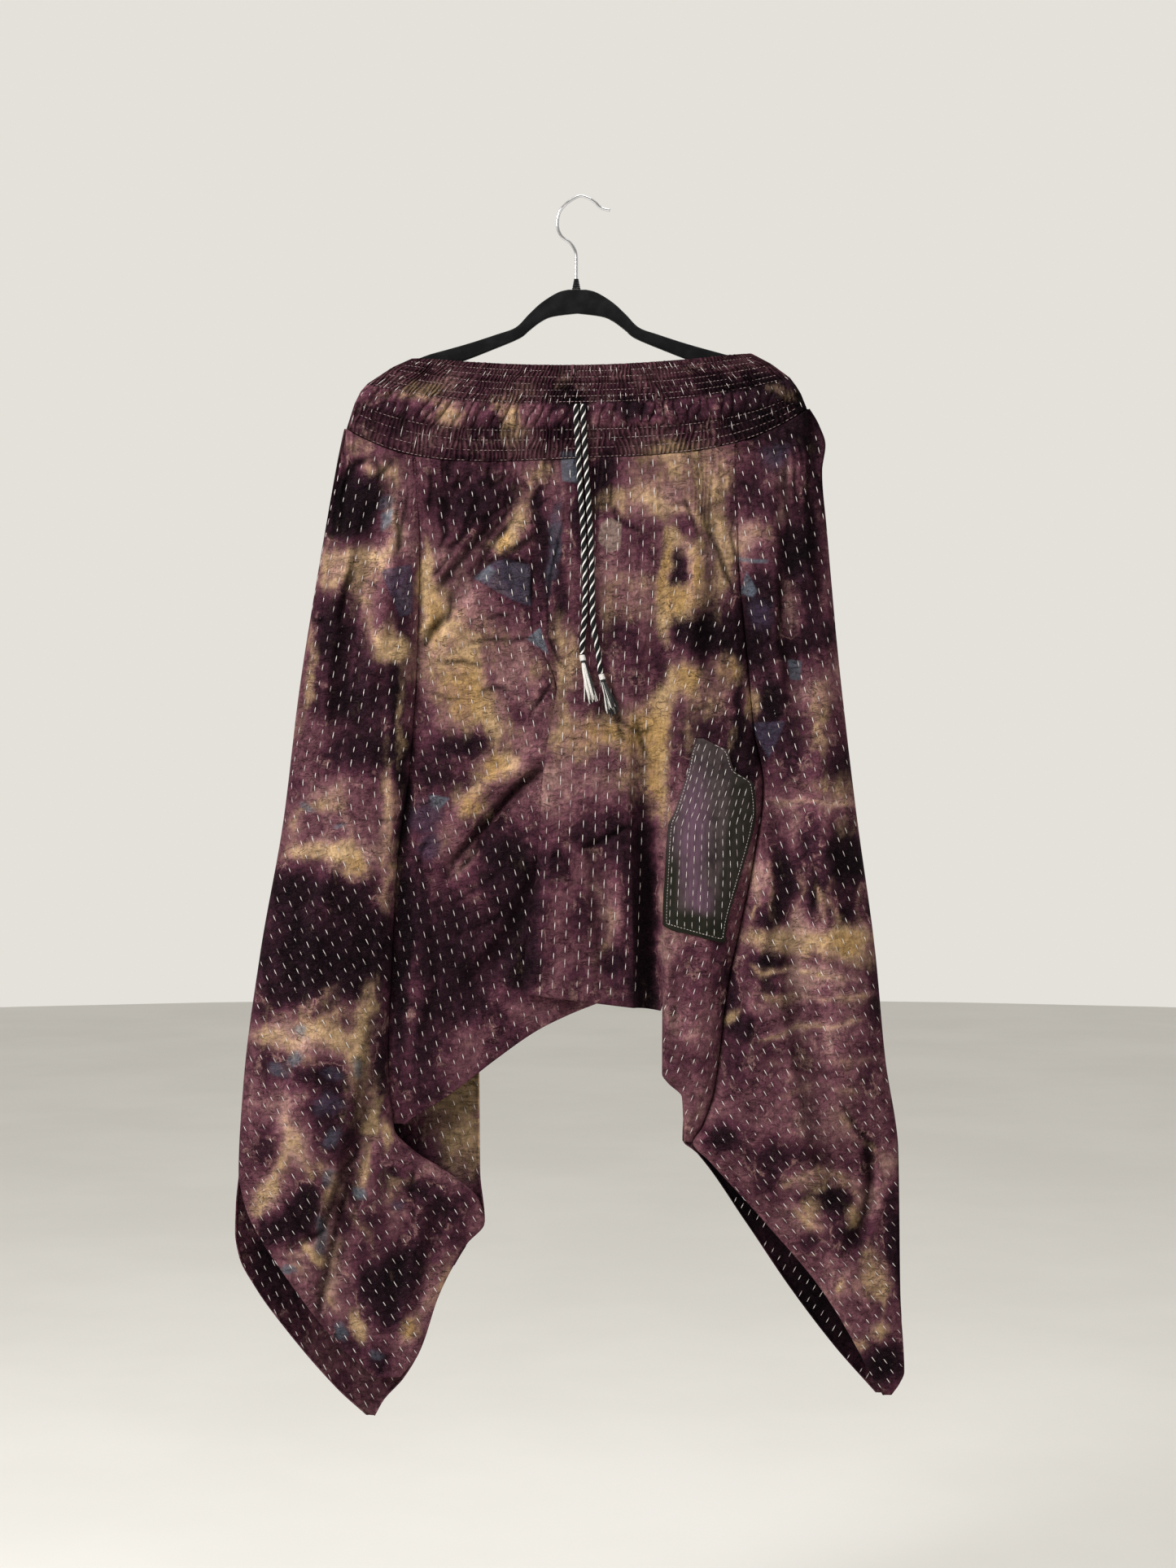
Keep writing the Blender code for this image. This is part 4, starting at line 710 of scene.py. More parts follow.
def rims(u, rate):
    """0 at both edges of a section and 1 over its middle."""
    return ease(rate * u) * ease(rate * (1 - u))


def through(points, at, column=1):
    """Smooth curve through a table's rows, read at one height or an array of them."""
    rows = np.array(sorted(points), float)
    place, value = rows[:, 0], rows[:, column]
    at = np.clip(at, place[0], place[-1])
    steps = np.diff(place)
    rises = np.diff(value) / steps
    before, after = rises[:-1], rises[1:]
    level = before * after > 0
    inner = np.where(level, 2 * before * after / np.where(level, before + after, 1), 0)
    slopes = np.concatenate([rises[:1], inner, rises[-1:]])
    index = np.clip(np.searchsorted(place, at, side="right") - 1, 0, len(steps) - 1)
    step = steps[index]
    t = (at - place[index]) / step
    return ((2 * t ** 3 - 3 * t ** 2 + 1) * value[index]
            + (t ** 3 - 2 * t ** 2 + t) * step * slopes[index]
            + (3 * t ** 2 - 2 * t ** 3) * value[index + 1]
            + (t ** 3 - t ** 2) * step * slopes[index + 1])


def ripple(x, z, size, seed):
    """Smooth noise from -1 to 1, with hills of one size."""
    side = 128
    hills = np.random.default_rng(seed).uniform(-1, 1, (side, side))
    a, b = x / size, z / size
    i, j = np.floor(a).astype(int), np.floor(b).astype(int)
    u, v = ease(a - i), ease(b - j)
    i, j = i % side, j % side
    k, m = (i + 1) % side, (j + 1) % side
    return mix(mix(hills[i, j], hills[k, j], u), mix(hills[i, m], hills[k, m], u), v)


def rough(x, z, size, seed, layers=3):
    """Noise of several sizes, each half as large and half as strong as the one before."""
    total = sum(ripple(x, z, size / 2 ** n, seed + n) / 2 ** n for n in range(layers))
    return total / (2 - 0.5 ** (layers - 1))


def bend(before, start, end, after, t):
    """Smooth curve from start to end, steered by the places before and after them."""
    return 0.5 * (2 * start + (end - before) * t
                  + (2 * before - 5 * start + 4 * end - after) * t ** 2
                  + (3 * start - before - 3 * end + after) * t ** 3)


def smooth_route(points, steps):
    """Points along a smooth curve that passes through the given ones."""
    points = np.array(points, float)
    before, after = np.vstack([points[:1], points[:-2]]), np.vstack([points[2:], points[-1:]])
    around = (before, points[:-1], points[1:], after)
    curve = bend(*(part[:, None, :] for part in around), (np.arange(steps) / steps)[None, :, None])
    return np.vstack([curve.reshape(-1, points.shape[1]), points[-1:]])


def lengths_along(route):
    """Length of a route from its start to each of its points."""
    return np.concatenate([[0], np.cumsum(np.linalg.norm(np.diff(route, axis=0), axis=1))])


def resample(points, step):
    """A smooth curve through the points, in even steps."""
    fine = smooth_route(points, 40)
    length = lengths_along(fine)
    at = np.linspace(0, length[-1], max(2, int(round(length[-1] / step))) + 1)
    return np.stack([np.interp(at, length, fine[:, axis]) for axis in range(3)], axis=1)


def unit(vectors):
    return vectors / np.maximum(np.linalg.norm(vectors, axis=-1, keepdims=True), 1e-9)


def from_route(route, x, z):
    """How far each place lies from a route, and how far along the route it is, from 0 to 1."""
    best, along = np.full(x.shape, 1e9), np.zeros(x.shape)
    last = len(route) - 1
    for i in range(last):
        (x0, z0), (x1, z1) = route[i], route[i + 1]
        length = (x1 - x0) ** 2 + (z1 - z0) ** 2
        t = np.clip(((x - x0) * (x1 - x0) + (z - z0) * (z1 - z0)) / length, 0, 1)
        away = np.hypot(x - mix(x0, x1, t), z - mix(z0, z1, t))
        near = away < best
        best, along = np.where(near, away, best), np.where(near, (i + t) / last, along)
    return best, along


def near_route(route, reach, x, z):
    """The places within a route's own box and its reach, with what from_route says of them."""
    across, down = zip(*route)
    near = ((x > min(across) - reach) & (x < max(across) + reach)
            & (z > min(down) - reach) & (z < max(down) + reach))
    return near, *from_route(route, x[near], z[near])


def fold_relief(panel, x, z):
    """Height that the folds and creases of a panel give."""
    total = np.zeros(x.shape)
    for width, height, *route in FOLDS[panel]:
        near, away, along = near_route(route, width, x, z)
        total[near] += height * wave(np.minimum(away / width, 1) / 2) * taper(along, 4, 0.2)
    for width, height, *route in CREASES[panel]:
        near, away, along = near_route(route, 2.2 * width, x, z)
        away = away / width
        line = np.exp(-(away * 1.5) ** 1.4) - 0.3 * np.exp(-(away - 1.3) ** 2 * 6)
        total[near] += height * line * taper(along, 3, 0.05)
    return total


def crease_shade(panels, x, z):
    """How much painted shade darkens the creases and valleys of some panels, from 0 to 1."""
    total = np.zeros(x.shape)
    for panel in panels:
        for width, height, *route in CREASES[panel]:
            if height < 0:
                near, away, along = near_route(route, 2 * width, x, z)
                line = np.exp(-(away / (0.45 * width)) ** 2) * min(1.0, -height / 2.2)
                total[near] = np.maximum(total[near], line * taper(along, 4))
        for route in VALLEYS.get(panel, ()):
            near, away, _ = near_route(route, 14, x, z)
            total[near] = np.maximum(total[near], 0.85 * np.exp(-(away / 5.5) ** 2))
    return total


# Where each panel lies

def waist_row(row, u):
    """Point of the gathered waist's plain inside: x, depth and z. A row may hold arrays."""
    left_x, left_z, middle_z, right_x, right_z, power, depth = row
    inset = YOKE_WALL * math.sqrt(0.5)
    x = mix(left_x + inset, right_x - inset, u)
    ends = mix(left_z, right_z, u)
    sag = middle_z - (left_z + right_z) / 2
    away = np.abs(2 * u - 1)
    return x, (depth - YOKE_WALL) * arch(u, 3), ends - inset * away ** 8 + sag * (1 - away ** power)


def between_rows(place):
    """The waist's row at a place, or an array of places, between two rows of its table."""
    rows = np.array(WAIST_ROWS, float)
    index = np.minimum(np.asarray(place).astype(int), len(rows) - 2)
    return mix(rows[index], rows[index + 1], (place - index)[..., None])


def yoke_hem(x):
    """Depth of the outside and height of the yoke's lower edge at each x."""
    u = np.clip((x - YOKE_HEM[0]) / (YOKE_HEM[3] - YOKE_HEM[0]), 0.0, 1.0)
    _, depth, z = waist_row(YOKE_HEM, u)
    return depth + YOKE_WALL * 1.2, z


def under_yoke(x, depth, z):
    """Bring a panel's depth to the yoke's lower edge over its top."""
    edge, height = yoke_hem(x)
    return mix(edge, depth, ease((height - z) / (height - BLEND_END)))


def level_of(level, top, x):
    """Height of a row at each x: rows follow the yoke's lower edge at the top and flatten below."""
    fade = np.clip((level - BLEND_END) / (top - BLEND_END), 0.0, 1.0)
    return level + fade * (yoke_hem(x)[1] - SEAM_GAP - 0.3 - top)


def lobe(panel, left, right, depths, z, t):
    """A panel's section between two x: x, depth and how much of its relief each place takes."""
    u = spread(t)
    x = mix(left, right, u)
    first, middle, last = (through(depths, z, column) for column in (1, 2, 3))
    depth = mix(first, last, u) + (middle - (first + last) / 2) * arch(u, 2.3)
    inner = rims(u, 6)
    return x, depth + fold_relief(panel, x, z) * inner, inner


def row_line(panel):
    """Course of a panel's stitch rows: heights, shift to the side and length from the top."""
    heights = np.arange(ROWS_TOP, ROWS_END, -ROW_STEP)
    angle = np.radians(through(ROW_LEAN[panel], heights))
    shift, length = (np.concatenate([[0], np.cumsum(ROW_STEP * part)[:-1]])
                     for part in (np.tan(angle), 1 / np.cos(angle)))
    return heights, shift, length


def cloth_relief(panel, x, z, settings):
    """Small relief of quilted cloth, and the phase and amount of the gathers under the yoke."""
    heights, shift, length = row_line(panel)
    along = np.interp(-z, -heights, length) / (settings.stitch_step * 1000)
    across = (x - np.interp(-z, -heights, shift)) / (settings.row_gap * 1000)
    quilt = 0.34 * np.cos(2 * np.pi * across) + 0.2 * np.cos(2 * np.pi * along)
    drift = rough(x, z * 0.5, 24, 5) * 1.5 + rough(x, z, 9, 11) * 0.5
    pucker = ripple(along * 5, across * 0.9, 1.0, 17) * 0.34
    fall = ease((z + 372 + 60 * ripple(x, 0 * z, 17, 37)) / 120)
    phase = x / 7.4 + ripple(x, z * 0.35, 22, 23) * 1.5 + rough(x, z, 60, 27) * 1.2
    calm = 1 - 0.75 * np.exp(-((x - 112) / 22) ** 2)
    amount = (0.28 + 0.62 * ripple(x, z * 0.3, 19, 29)) * fall * calm
    broad = np.sin(x / 9.5 + 2.6 * ripple(x, z * 0.6, 40, 31)) * 1.1 * fall
    gathers = np.cos(2 * np.pi * phase) * amount * 0.7
    return -quilt + drift + pucker + gathers + broad, phase, np.maximum(amount, 0)


def beneath_cord(x, z):
    """From 1, well away from the drawstring, to 0.15 beneath it."""
    away, _ = from_route(CORDS_MIDDLE, x, z)
    return mix(0.15, 1, ease((away - 7) / 12))


def with_turns(points):
    """A grid with columns added that carry both of its edges round and inwards."""
    first, last = [], []
    for edge, turns in ((points[:, :1], first), (points[:, -1:], last)):
        for share in (0.45, 1.0):
            turn = edge.copy()
            turn[..., 1] -= HEM_TURN * share
            turns.append(turn)
    return np.concatenate(first[::-1] + [points] + last, axis=1)


def panel_points(panel, levels, left, right, depths, columns, settings, bottom):
    """Grid of a leg or the plain back, with its edges turned in: x, depth, z, relief, gathers."""
    level = np.array(levels)[:, None]
    t = np.linspace(0, 1, columns + 1)[None, :]
    z = level + 0 * t
    for _ in range(LEVEL_ROUNDS):
        x = mix(through(left, z), through(right, z), spread(t))
        z = level_of(level, levels[0], x)
        if bottom:
            z = z + ease((levels[-1] + 160 - level) / 160) * (through(bottom, x) - levels[-1])
    x, depth, inner = lobe(panel, through(left, z), through(right, z), depths, z, t)
    relief, phase, amount = cloth_relief(panel, x, z, settings)
    relief *= (0.25 + 0.75 * inner) * rims(spread(t), 40)
    depth = under_yoke(x, depth, z) + relief
    inset = SEAM_GAP / 2 + (0.3 if bottom else 0)
    x[:, 0] += inset
    x[:, -1] -= inset
    for end in (0, -1):
        depth[:, end] = np.maximum(depth[:, end], SEAM_GAP / 2 + HEM_TURN)
    # This relief, with the folds and creases added, later sets the painted shade in the dips and the
    # painted light on the ridges
    relief = relief + fold_relief(panel, x, z)
    return with_turns(np.stack([x, depth, z, relief, phase, amount], axis=-1))


def centre_points(levels, settings):
    """Grid of the centre front, and which of its faces the cloth has: the rest is open."""
    level = np.array(levels)[:, None]
    parts = []
    for kind, count in (("belly", 64), ("turn", 16), ("pleat", 44), ("valley", 12),
                        ("belly_right", 42)):
        t = np.linspace(0, 1, count + 1)[None, :]
        if kind in ("turn", "valley"):
            t = t[:, 1:-1]
        z = level + 0 * t
        for _ in range(LEVEL_ROUNDS):
            x, _, _ = centre_section(kind, t, z)
            z = level_of(level, levels[0], x)
            if "belly" not in kind:
                z = z - 0.13 * (x - 2) * ease((-700 - level) / 108)
        x, depth, inner = centre_section(kind, t, z)
        panel = kind if kind in FOLDS else "pleat"
        relief, phase, amount = cloth_relief(panel, x, z, settings)
        relief *= 0.25 + 0.75 * (inner if "belly" in kind else 0.6)
        if kind == "belly":
            relief = relief * ease(40 * spread(t))
        if kind == "belly_right":
            relief = relief * ease(40 * (1 - spread(t)))
        depth = under_yoke(x, depth, z) + relief * beneath_cord(x, z)
        # This relief, with the folds and creases added, later sets the painted shade in the dips and the
        # painted light on the ridges
        relief = relief + fold_relief(panel, x, z)
        parts.append(np.stack([x, depth, z, relief, phase, amount], axis=-1))
    points = np.concatenate(parts, axis=1)
    points[:, 0, 0] += SEAM_GAP / 2
    points[:, -1, 0] -= SEAM_GAP / 2
    points = with_turns(points)
    belly_end = 1 + parts[0].shape[1]
    right_start = points.shape[1] - 2 - parts[-1].shape[1]
    split, last = levels.index(PLEAT_SPLIT), levels.index(CROTCH_END)

    def keep(row, column):
        return row < split or column >= right_start or (column < belly_end and row < last)

    return points, keep


def centre_section(kind, t, z):
    """One part of the centre front's section: x, depth, share of the relief."""
    if kind == "belly":
        behind = np.where(z >= PLEAT_SPLIT, through(PLEAT_BEHIND, z), through(CROTCH_LEFT, z))
        return lobe(kind, through(LEFT_INNER, z), behind, BELLY_DEPTH, z, t)
    fold = through(PANEL_FOLD, z)
    if kind == "belly_right":
        return lobe(kind, fold, through(RIGHT_INNER, z), BELLY_RIGHT_DEPTH, z, t)
    high = np.maximum(z, PLEAT_SPLIT)
    if kind == "pleat":
        return lobe(kind, through(PLEAT_EDGE, high), through(PLEAT_RIGHT, high), PLEAT_DEPTH, high, t)
    if kind == "turn":
        return (*pleat_turn(high, t), 0.5)
    edge = mix(through(PLEAT_DEPTH, z, 3), through(BELLY_RIGHT_DEPTH, z, 1), t)
    floor = mix(edge - 3, 5.0, ease((-480 - z) / 260))
    return mix(through(PLEAT_RIGHT, z), fold, t), mix(edge, floor, np.sin(np.pi * t) ** 0.8), 0.5


def pleat_turn(z, t):
    """The pleat's two turns, from the layer behind to the layer in front: x and depth."""
    behind, edge = through(PLEAT_BEHIND, z), through(PLEAT_EDGE, z)
    start, end = through(BELLY_DEPTH, z, 3), through(PLEAT_DEPTH, z, 1)
    k = ease((PLEAT_TOP - 40 - z) / 90)
    folded = ((behind, 0.0), (behind + 3, 0.16), (behind + 2, 0.34), ((behind + edge) / 2, 0.42),
              (edge - 2, 0.52), (edge - 3.5, 0.76), (edge, 1.0))
    last = len(folded) - 1
    stops = [(mix(mix(behind, edge, n / last), x, k), mix(n / last, share, k))
             for n, (x, share) in enumerate(folded)]
    place = t * last + 0 * z
    x, share = np.zeros(place.shape), np.zeros(place.shape)
    for n in range(last):
        around = [stops[min(max(n + step, 0), last)] for step in (-1, 0, 1, 2)]
        here = (place >= n) & (place <= n + 1)
        for target, axis in ((x, 0), (share, 1)):
            curve = bend(*(stop[axis] for stop in around), place - n)
            target[here] = np.broadcast_to(curve, place.shape)[here]
    return x, mix(start, end, share)


def ladder(step, *stops):
    """Levels from stop to stop, in even steps no longer than the given one."""
    levels = [stops[0]]
    for level in stops[1:]:
        last = levels[-1]
        count = math.ceil(abs(level - last) / step)
        levels += [mix(last, level, (i + 1) / count) for i in range(count)]
    return levels


# Dye, and painted shade among its dark blots

def blot(x, z, cx, cz, half_x, half_z, lean, soft=1.25):
    """From 1 inside a leaning oval to 0 outside it, over an edge as wide as it is soft."""
    angle = math.radians(lean)
    across = (x - cx) * math.cos(angle) - (z - cz) * math.sin(angle)
    down = (x - cx) * math.sin(angle) + (z - cz) * math.cos(angle)
    return ease((1 - np.hypot(across / half_x, down / half_z)) / soft + 0.5)


def inside(outline, x, z):
    """Distance into an outline, in millimetres, below 0 outside it."""
    closed = (*outline, outline[0])
    away, _ = from_route(closed, x, z)
    crossings = np.zeros(x.shape, int)
    for (x0, z0), (x1, z1) in zip(closed[:-1], closed[1:]):
        if z0 != z1:
            spans = (z > min(z0, z1)) & (z <= max(z0, z1))
            crossings += spans & (x < x0 + (z - z0) * (x1 - x0) / (z1 - z0))
    return np.where(crossings % 2 == 1, away, -away)


def dye_at(x, z, side):
    """Amounts of dark dye with some painted shade, tan, old blue cloth and its shade, and gold at each
    place.
    """
    sway, grown = (10, 1.15) if side == FRONT else (34, 1.4)
    wx = x + rough(x, z, 44, 41) * sway + rough(x, z, 12, 47) * 4
    wz = z + rough(x, z, 44, 43) * sway + rough(x, z, 12, 53) * 4
    tables = (FRONT_DARK, FRONT_TAN, FRONT_PALE) if side == FRONT else (BACK_DARK, BACK_TAN, ())
    bare = {}
    for kind, table in zip(("dark", "tan", "pale"), tables):
        layer = bare[kind] = np.ones(x.shape)
        share = 0.58 if side == BACK and kind == "dark" else 0.93
        for cx, cz, half_x, half_z, lean, strength in table:
            reach = 2.6 * max(half_x, half_z)
            near = (np.abs(wx - cx) < reach) & (np.abs(wz - cz) < reach)
            spot = blot(wx[near], wz[near], cx, cz, half_x * grown, half_z * grown, lean, 1.6)
            layer[near] *= 1 - share * strength * spot
    if side == FRONT:
        vx, vz = x + rough(x, z, 20, 59) * 7, z + rough(x, z, 20, 73) * 7
        for width, strength, *route in VEINS:
            near, away, along = near_route(route, 3 * width, vx, vz)
            line = strength * np.exp(-(away / (width * 1.5)) ** 1.3) * taper(along, 5, 0.35)
            bare["tan"][near] *= 1 - 0.7 * line
            bare["pale"][near] *= 1 - 0.8 * line
            bare["dark"][near] = mix(bare["dark"][near], 1, 0.6 * line)
    tan = 1 - bare["tan"]
    dark = 0.3 * bare["pale"] + 0.7 * (1 - bare["dark"])
    if side == BACK:
        calm = 1 - blot(wx, wz, -118, -900, 44, 90, 0)
        blue = ease(ripple(wx, wz, 60, 61) * 4 - 2.6) * 0.8 * calm
        gold = ease(ripple(wx, wz, 44, 71) * 3 - 1.4) * tan * calm
        return dark, tan, blue, 0.5 + 0.5 * ripple(x, z, 40, 67), gold
    gold, blue, shade = np.zeros(x.shape), np.zeros(x.shape), np.zeros(x.shape)
    for spot in GOLD:
        gold = np.maximum(gold, blot(wx, wz, *spot, 0, 1.2))
    for *spot, tone in BLUE_BLOTS:
        add = 0.72 * blot(wx, wz, *spot, 1.7)
        shade = np.where(add > blue, tone, shade)
        blue = np.maximum(blue, add)
    for tone, *outline in OLD_CLOTH:
        add = np.clip(0.5 + inside(outline, x, z) / 5, 0, 0.85 if tone < 0.3 else 1)
        shade = np.where(add > blue * 0.6, tone, shade)
        blue = np.maximum(blue, add)
    return dark, tan, blue, shade, gold


# Meshes and pieces

def mesh_of(bm, name, sharp=None):
    """The finished mesh of a form, smooth but for edges sharper than an angle in degrees."""
    mesh = bpy.data.meshes.new(name)
    bm.to_mesh(mesh)
    bm.free()
    mesh.shade_smooth()
    if sharp:
        mesh.set_sharp_from_angle(angle=math.radians(sharp))
    return mesh


def places_of(mesh):
    """Where a mesh's points are."""
    place = np.empty(len(mesh.vertices) * 3, np.float32)
    mesh.vertices.foreach_get("co", place)
    return place.reshape(-1, 3)


def move_to(mesh, places):
    """Move a mesh's points, given in metres."""
    mesh.vertices.foreach_set("co", places.astype(np.float32).ravel())
    mesh.update()


def grid_mesh(name, points, side=FRONT, keep=None):
    """A mesh on a grid of points (rows, columns, x depth z), facing outwards, and its points."""
    rows, columns = points.shape[:2]
    bm = bmesh.new()
    bmesh.ops.create_grid(bm, x_segments=columns - 1, y_segments=rows - 1, size=1)
    if keep:
        lost = []
        for face in bm.faces:
            middle = face.calc_center_median()
            if not keep(int((1 - middle.y) / 2 * (rows - 1)), int((middle.x + 1) / 2 * (columns - 1))):
                lost.append(face)
        bmesh.ops.delete(bm, geom=lost, context="FACES")
    if side == BACK:
        bmesh.ops.reverse_faces(bm, faces=bm.faces)
    mesh = mesh_of(bm, name)
    place = places_of(mesh)
    column = np.rint((place[:, 0] + 1) / 2 * (columns - 1)).astype(int)
    row = np.rint((1 - place[:, 1]) / 2 * (rows - 1)).astype(int)
    at = points[row, column].copy()
    at[:, 1] *= side
    move_to(mesh, at[:, :3] * MM)
    return mesh, at


def colour_layer(mesh, name, *channels):
    """Store up to four amounts for each point of a mesh."""
    layer = mesh.attributes.new(name, "FLOAT_COLOR", "POINT")
    values = np.ones((len(mesh.vertices), 4), np.float32)
    for index, channel in enumerate(channels):
        values[:, index] = channel
    layer.data.foreach_set("color", values.ravel())


def put(mesh, *finishes):
    """An object of a mesh, with its materials."""
    for finish in finishes:
        mesh.materials.append(finish)
    obj = bpy.data.objects.new(mesh.name, mesh)
    bpy.context.collection.objects.link(obj)
    return obj


def fit(mesh, slot, node, *finishes):
    """A piece of the part, in the place of a plain solid or on top of them."""
    obj = put(mesh, *finishes)
    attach(obj, BODY)
    if node:
        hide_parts(node)
    return obj


def fit_cloth(mesh, slot, node, wall, *finishes):
    """A piece of cloth with a thickness, onto which stitches can be cast."""
    bm = bmesh.new()
    bm.from_mesh(mesh)
    SURFACES[node] = BVHTree.FromBMesh(bm)
    bm.free()
    obj = fit(mesh, slot, node, *finishes)
    shell = obj.modifiers.new("Wall", "SOLIDIFY")
    shell.thickness = wall * MM
    shell.offset = -1.0
    shell.use_even_offset = False
    shell.material_offset = len(finishes) - 1
    return obj


def quilted_piece(node, slot, points, side, wall, panels, keep=None):
    """A dyed panel of quilted cloth."""
    mesh, at = grid_mesh(node + "_cloth", points, side, keep)
    x, z = at[:, 0], at[:, 2]
    dark, tan, blue, shade, gold = dye_at(x, z, side)
    colour_layer(mesh, "dye", dark, tan, blue, shade)
    # Painted shade of the creases and valleys, the gold dye, and the relief, which the material turns
    # into painted shade in its dips and painted light on its ridges
    colour_layer(mesh, "painted_shade_and_gold", crease_shade(panels, x, z), gold, at[:, 3])
    # Phase and amount of the gathers, for their bumps and for the painted shade in their troughs
    colour_layer(mesh, "gather", at[:, 4], at[:, 5], 0)
    return fit_cloth(mesh, slot, node, wall, finish_of("quilted_cotton"), finish_of("quilted_inside"))


def many(template, count, name):
    """A mesh that repeats a small one, its points, and which copy each of them belongs to."""
    mesh = mesh_of(template, name)
    source = put(mesh)
    rows = source.modifiers.new("Copies", "ARRAY")
    rows.use_relative_offset = False
    rows.use_constant_offset = True
    rows.constant_offset_displace = (COPY_GAP, 0, 0)
    rows.count = count
    graph = bpy.context.evaluated_depsgraph_get()
    made = bpy.data.meshes.new_from_object(source.evaluated_get(graph))
    bpy.data.objects.remove(source, do_unlink=True)
    bpy.data.meshes.remove(mesh)
    made.name = name
    place = places_of(made).astype(float)
    which = np.rint(place[:, 0] / COPY_GAP).astype(int)
    place[:, 0] -= which * COPY_GAP
    return made, place, which


def spindle(stations, sides, ends=0.45):
    """A slim closed form along Z from -1 to 1, thinner at both ends."""
    bm = bmesh.new()
    bmesh.ops.create_cone(bm, cap_ends=True, segments=sides, radius1=1, radius2=1, depth=2)
    upright = [edge for edge in bm.edges if abs(edge.verts[0].co.z - edge.verts[1].co.z) > 1]
    bmesh.ops.subdivide_edges(bm, edges=upright, cuts=stations - 2, use_grid_fill=True)
    for vert in bm.verts:
        if abs(vert.co.z) > 0.99:
            vert.co.xy *= ends
    return bm


def smooth_tube(name, route, radius, sides, lobes=0.0, pitch=math.inf):
    """A closed round tube along a route in millimetres, with an optional twist of four strands."""
    tangent = unit(np.gradient(route, axis=0))
    side = unit(np.cross(tangent, [0.0, 1.0, 0.0]))
    other = np.cross(side, tangent)
    length = lengths_along(route)
    rows = len(route) - 1
    bm = bmesh.new()
    bmesh.ops.create_grid(bm, x_segments=sides, y_segments=rows, size=1)
    twist = bm.loops.layers.uv.new("twist")

    def spot(vert):
        """The share of a turn and the row of the tube that a point of the grid stands for."""
        return round((vert.co.x + 1) / 2 * sides) / sides, round((vert.co.y + 1) / 2 * rows)

    for face in bm.faces:
        for loop in face.loops:
            turn, row = spot(loop.vert)
            loop[twist].uv = (turn + length[row] / pitch, length[row])
    for vert in bm.verts:
        turn, row = spot(vert)
        angle = 2 * math.pi * turn
        strand = 2 * math.pi * STRANDS * (turn + length[row] / pitch)
        bulge = 1 - lobes * (1 + math.cos(strand + math.pi)) / 2
        spoke = side[row] * math.cos(angle) + other[row] * math.sin(angle)
        vert.co = Vector(route[row] + radius * bulge * spoke) * MM
    bmesh.ops.remove_doubles(bm, verts=bm.verts, dist=1e-6)
    open_edges = [edge for edge in bm.edges if edge.is_boundary]
    bmesh.ops.holes_fill(bm, edges=open_edges, sides=0)
    bmesh.ops.recalc_face_normals(bm, faces=bm.faces)
    return mesh_of(bm, name)


# Stitches

def cast(node, x, z, side):
    """Where a line of sight meets a piece, and the piece's outward direction there."""
    start = Vector((x * MM, side * SIGHT, z * MM))
    return SURFACES[node].ray_cast(start, Vector((0, -side, 0)))


def sew(name, node, spots, side, width, seed, finish, slot, lift=0.0, behind=()):
    """Short threads from point to point on a piece, where nothing in front of it hides them."""
    threads = []
    for x0, z0, x1, z1 in spots:
        first, second = cast(node, x0, z0, side), cast(node, x1, z1, side)
        if first[0] is None or second[0] is None:
            continue
        if any(cast(other, x, z, side)[0] for other in behind for x, z in ((x0, z0), (x1, z1))):
            continue
        normal = (first[1] + second[1]).normalized()
        if normal.y * side < 0:
            normal = -normal
        if normal.y * side > 0.3 and abs(first[0].y - second[0].y) < 4 * MM:
            threads.append((first[0] + normal * lift * MM, second[0] + normal * lift * MM, normal))
    starts, ends, outward = np.array(threads).transpose(1, 0, 2)
    rng = np.random.default_rng(500 + seed)
    tints = np.clip(rng.normal(0.74, 0.27, len(starts)), 0.0, 1.0)
    mesh, local, which = many(spindle(3, 4), len(starts), name)
    middle, half = (starts + ends) / 2, (ends - starts) / 2
    across = unit(np.cross(half, outward))
    rise = 0.45 - 0.6 * local[:, 2:] ** 2
    radius = width * MM / 2
    move_to(mesh, middle[which] + half[which] * local[:, 2:] + across[which] * local[:, :1] * radius
            + outward[which] * (local[:, 1:2] * 0.7 + rise) * radius)
    colour_layer(mesh, "tint", tints[which], 0, 0)
    fit(mesh, slot, None, finish_of(finish))


def row_spots(panel, box, settings, seed, gap=1.0, length=1.0):
    """Ends of the running stitches on a panel's rows, as x and z pairs."""
    rng = np.random.default_rng(seed)
    spacing, period = settings.row_gap * 1000 * gap, settings.stitch_step * 1000
    heights, shift, reach = row_line(panel)
    left, right, low, high = box
    spots = []
    first = math.floor((left - shift.max()) / spacing)
    for row in range(first, math.ceil((right - shift.min()) / spacing)):
        start = rng.uniform(0, 1) * 0.35 + 0.5 * (row % 2)
        wander = rng.uniform(-0.9, 0.9)
        for step in range(int(reach[-1] / period)):
            middle = (step + start + rng.uniform(-0.1, 0.1)) * period
            half = settings.stitch_length * 500 * length * rng.uniform(0.72, 1.12)
            s = np.array([middle - half, middle + half])
            z = np.interp(s, reach, heights)
            x = row * spacing + np.interp(s, reach, shift) + wander + rng.uniform(-0.5, 0.5)
            if left < x[0] < right and low < z[0] < high:
                spots.append((x[0], z[0], x[1], z[1]))
    return spots


def on_own_part(panel, spot):
    """Whether a stitch of the centre front lies on the part of it whose rows it follows."""
    x, z = spot[0], min(spot[1], spot[3])
    edge = through(PLEAT_EDGE if z > PLEAT_SPLIT - 6 else CROTCH_LEFT, z)
    fold = mix(through(PLEAT_RIGHT, max(z, PLEAT_SPLIT)), through(PANEL_FOLD, z), 0.5)
    if panel == "belly":
        return x < edge - 2
    if panel == "pleat":
        return edge + 2 < x < fold - 1
    return x > fold + 2


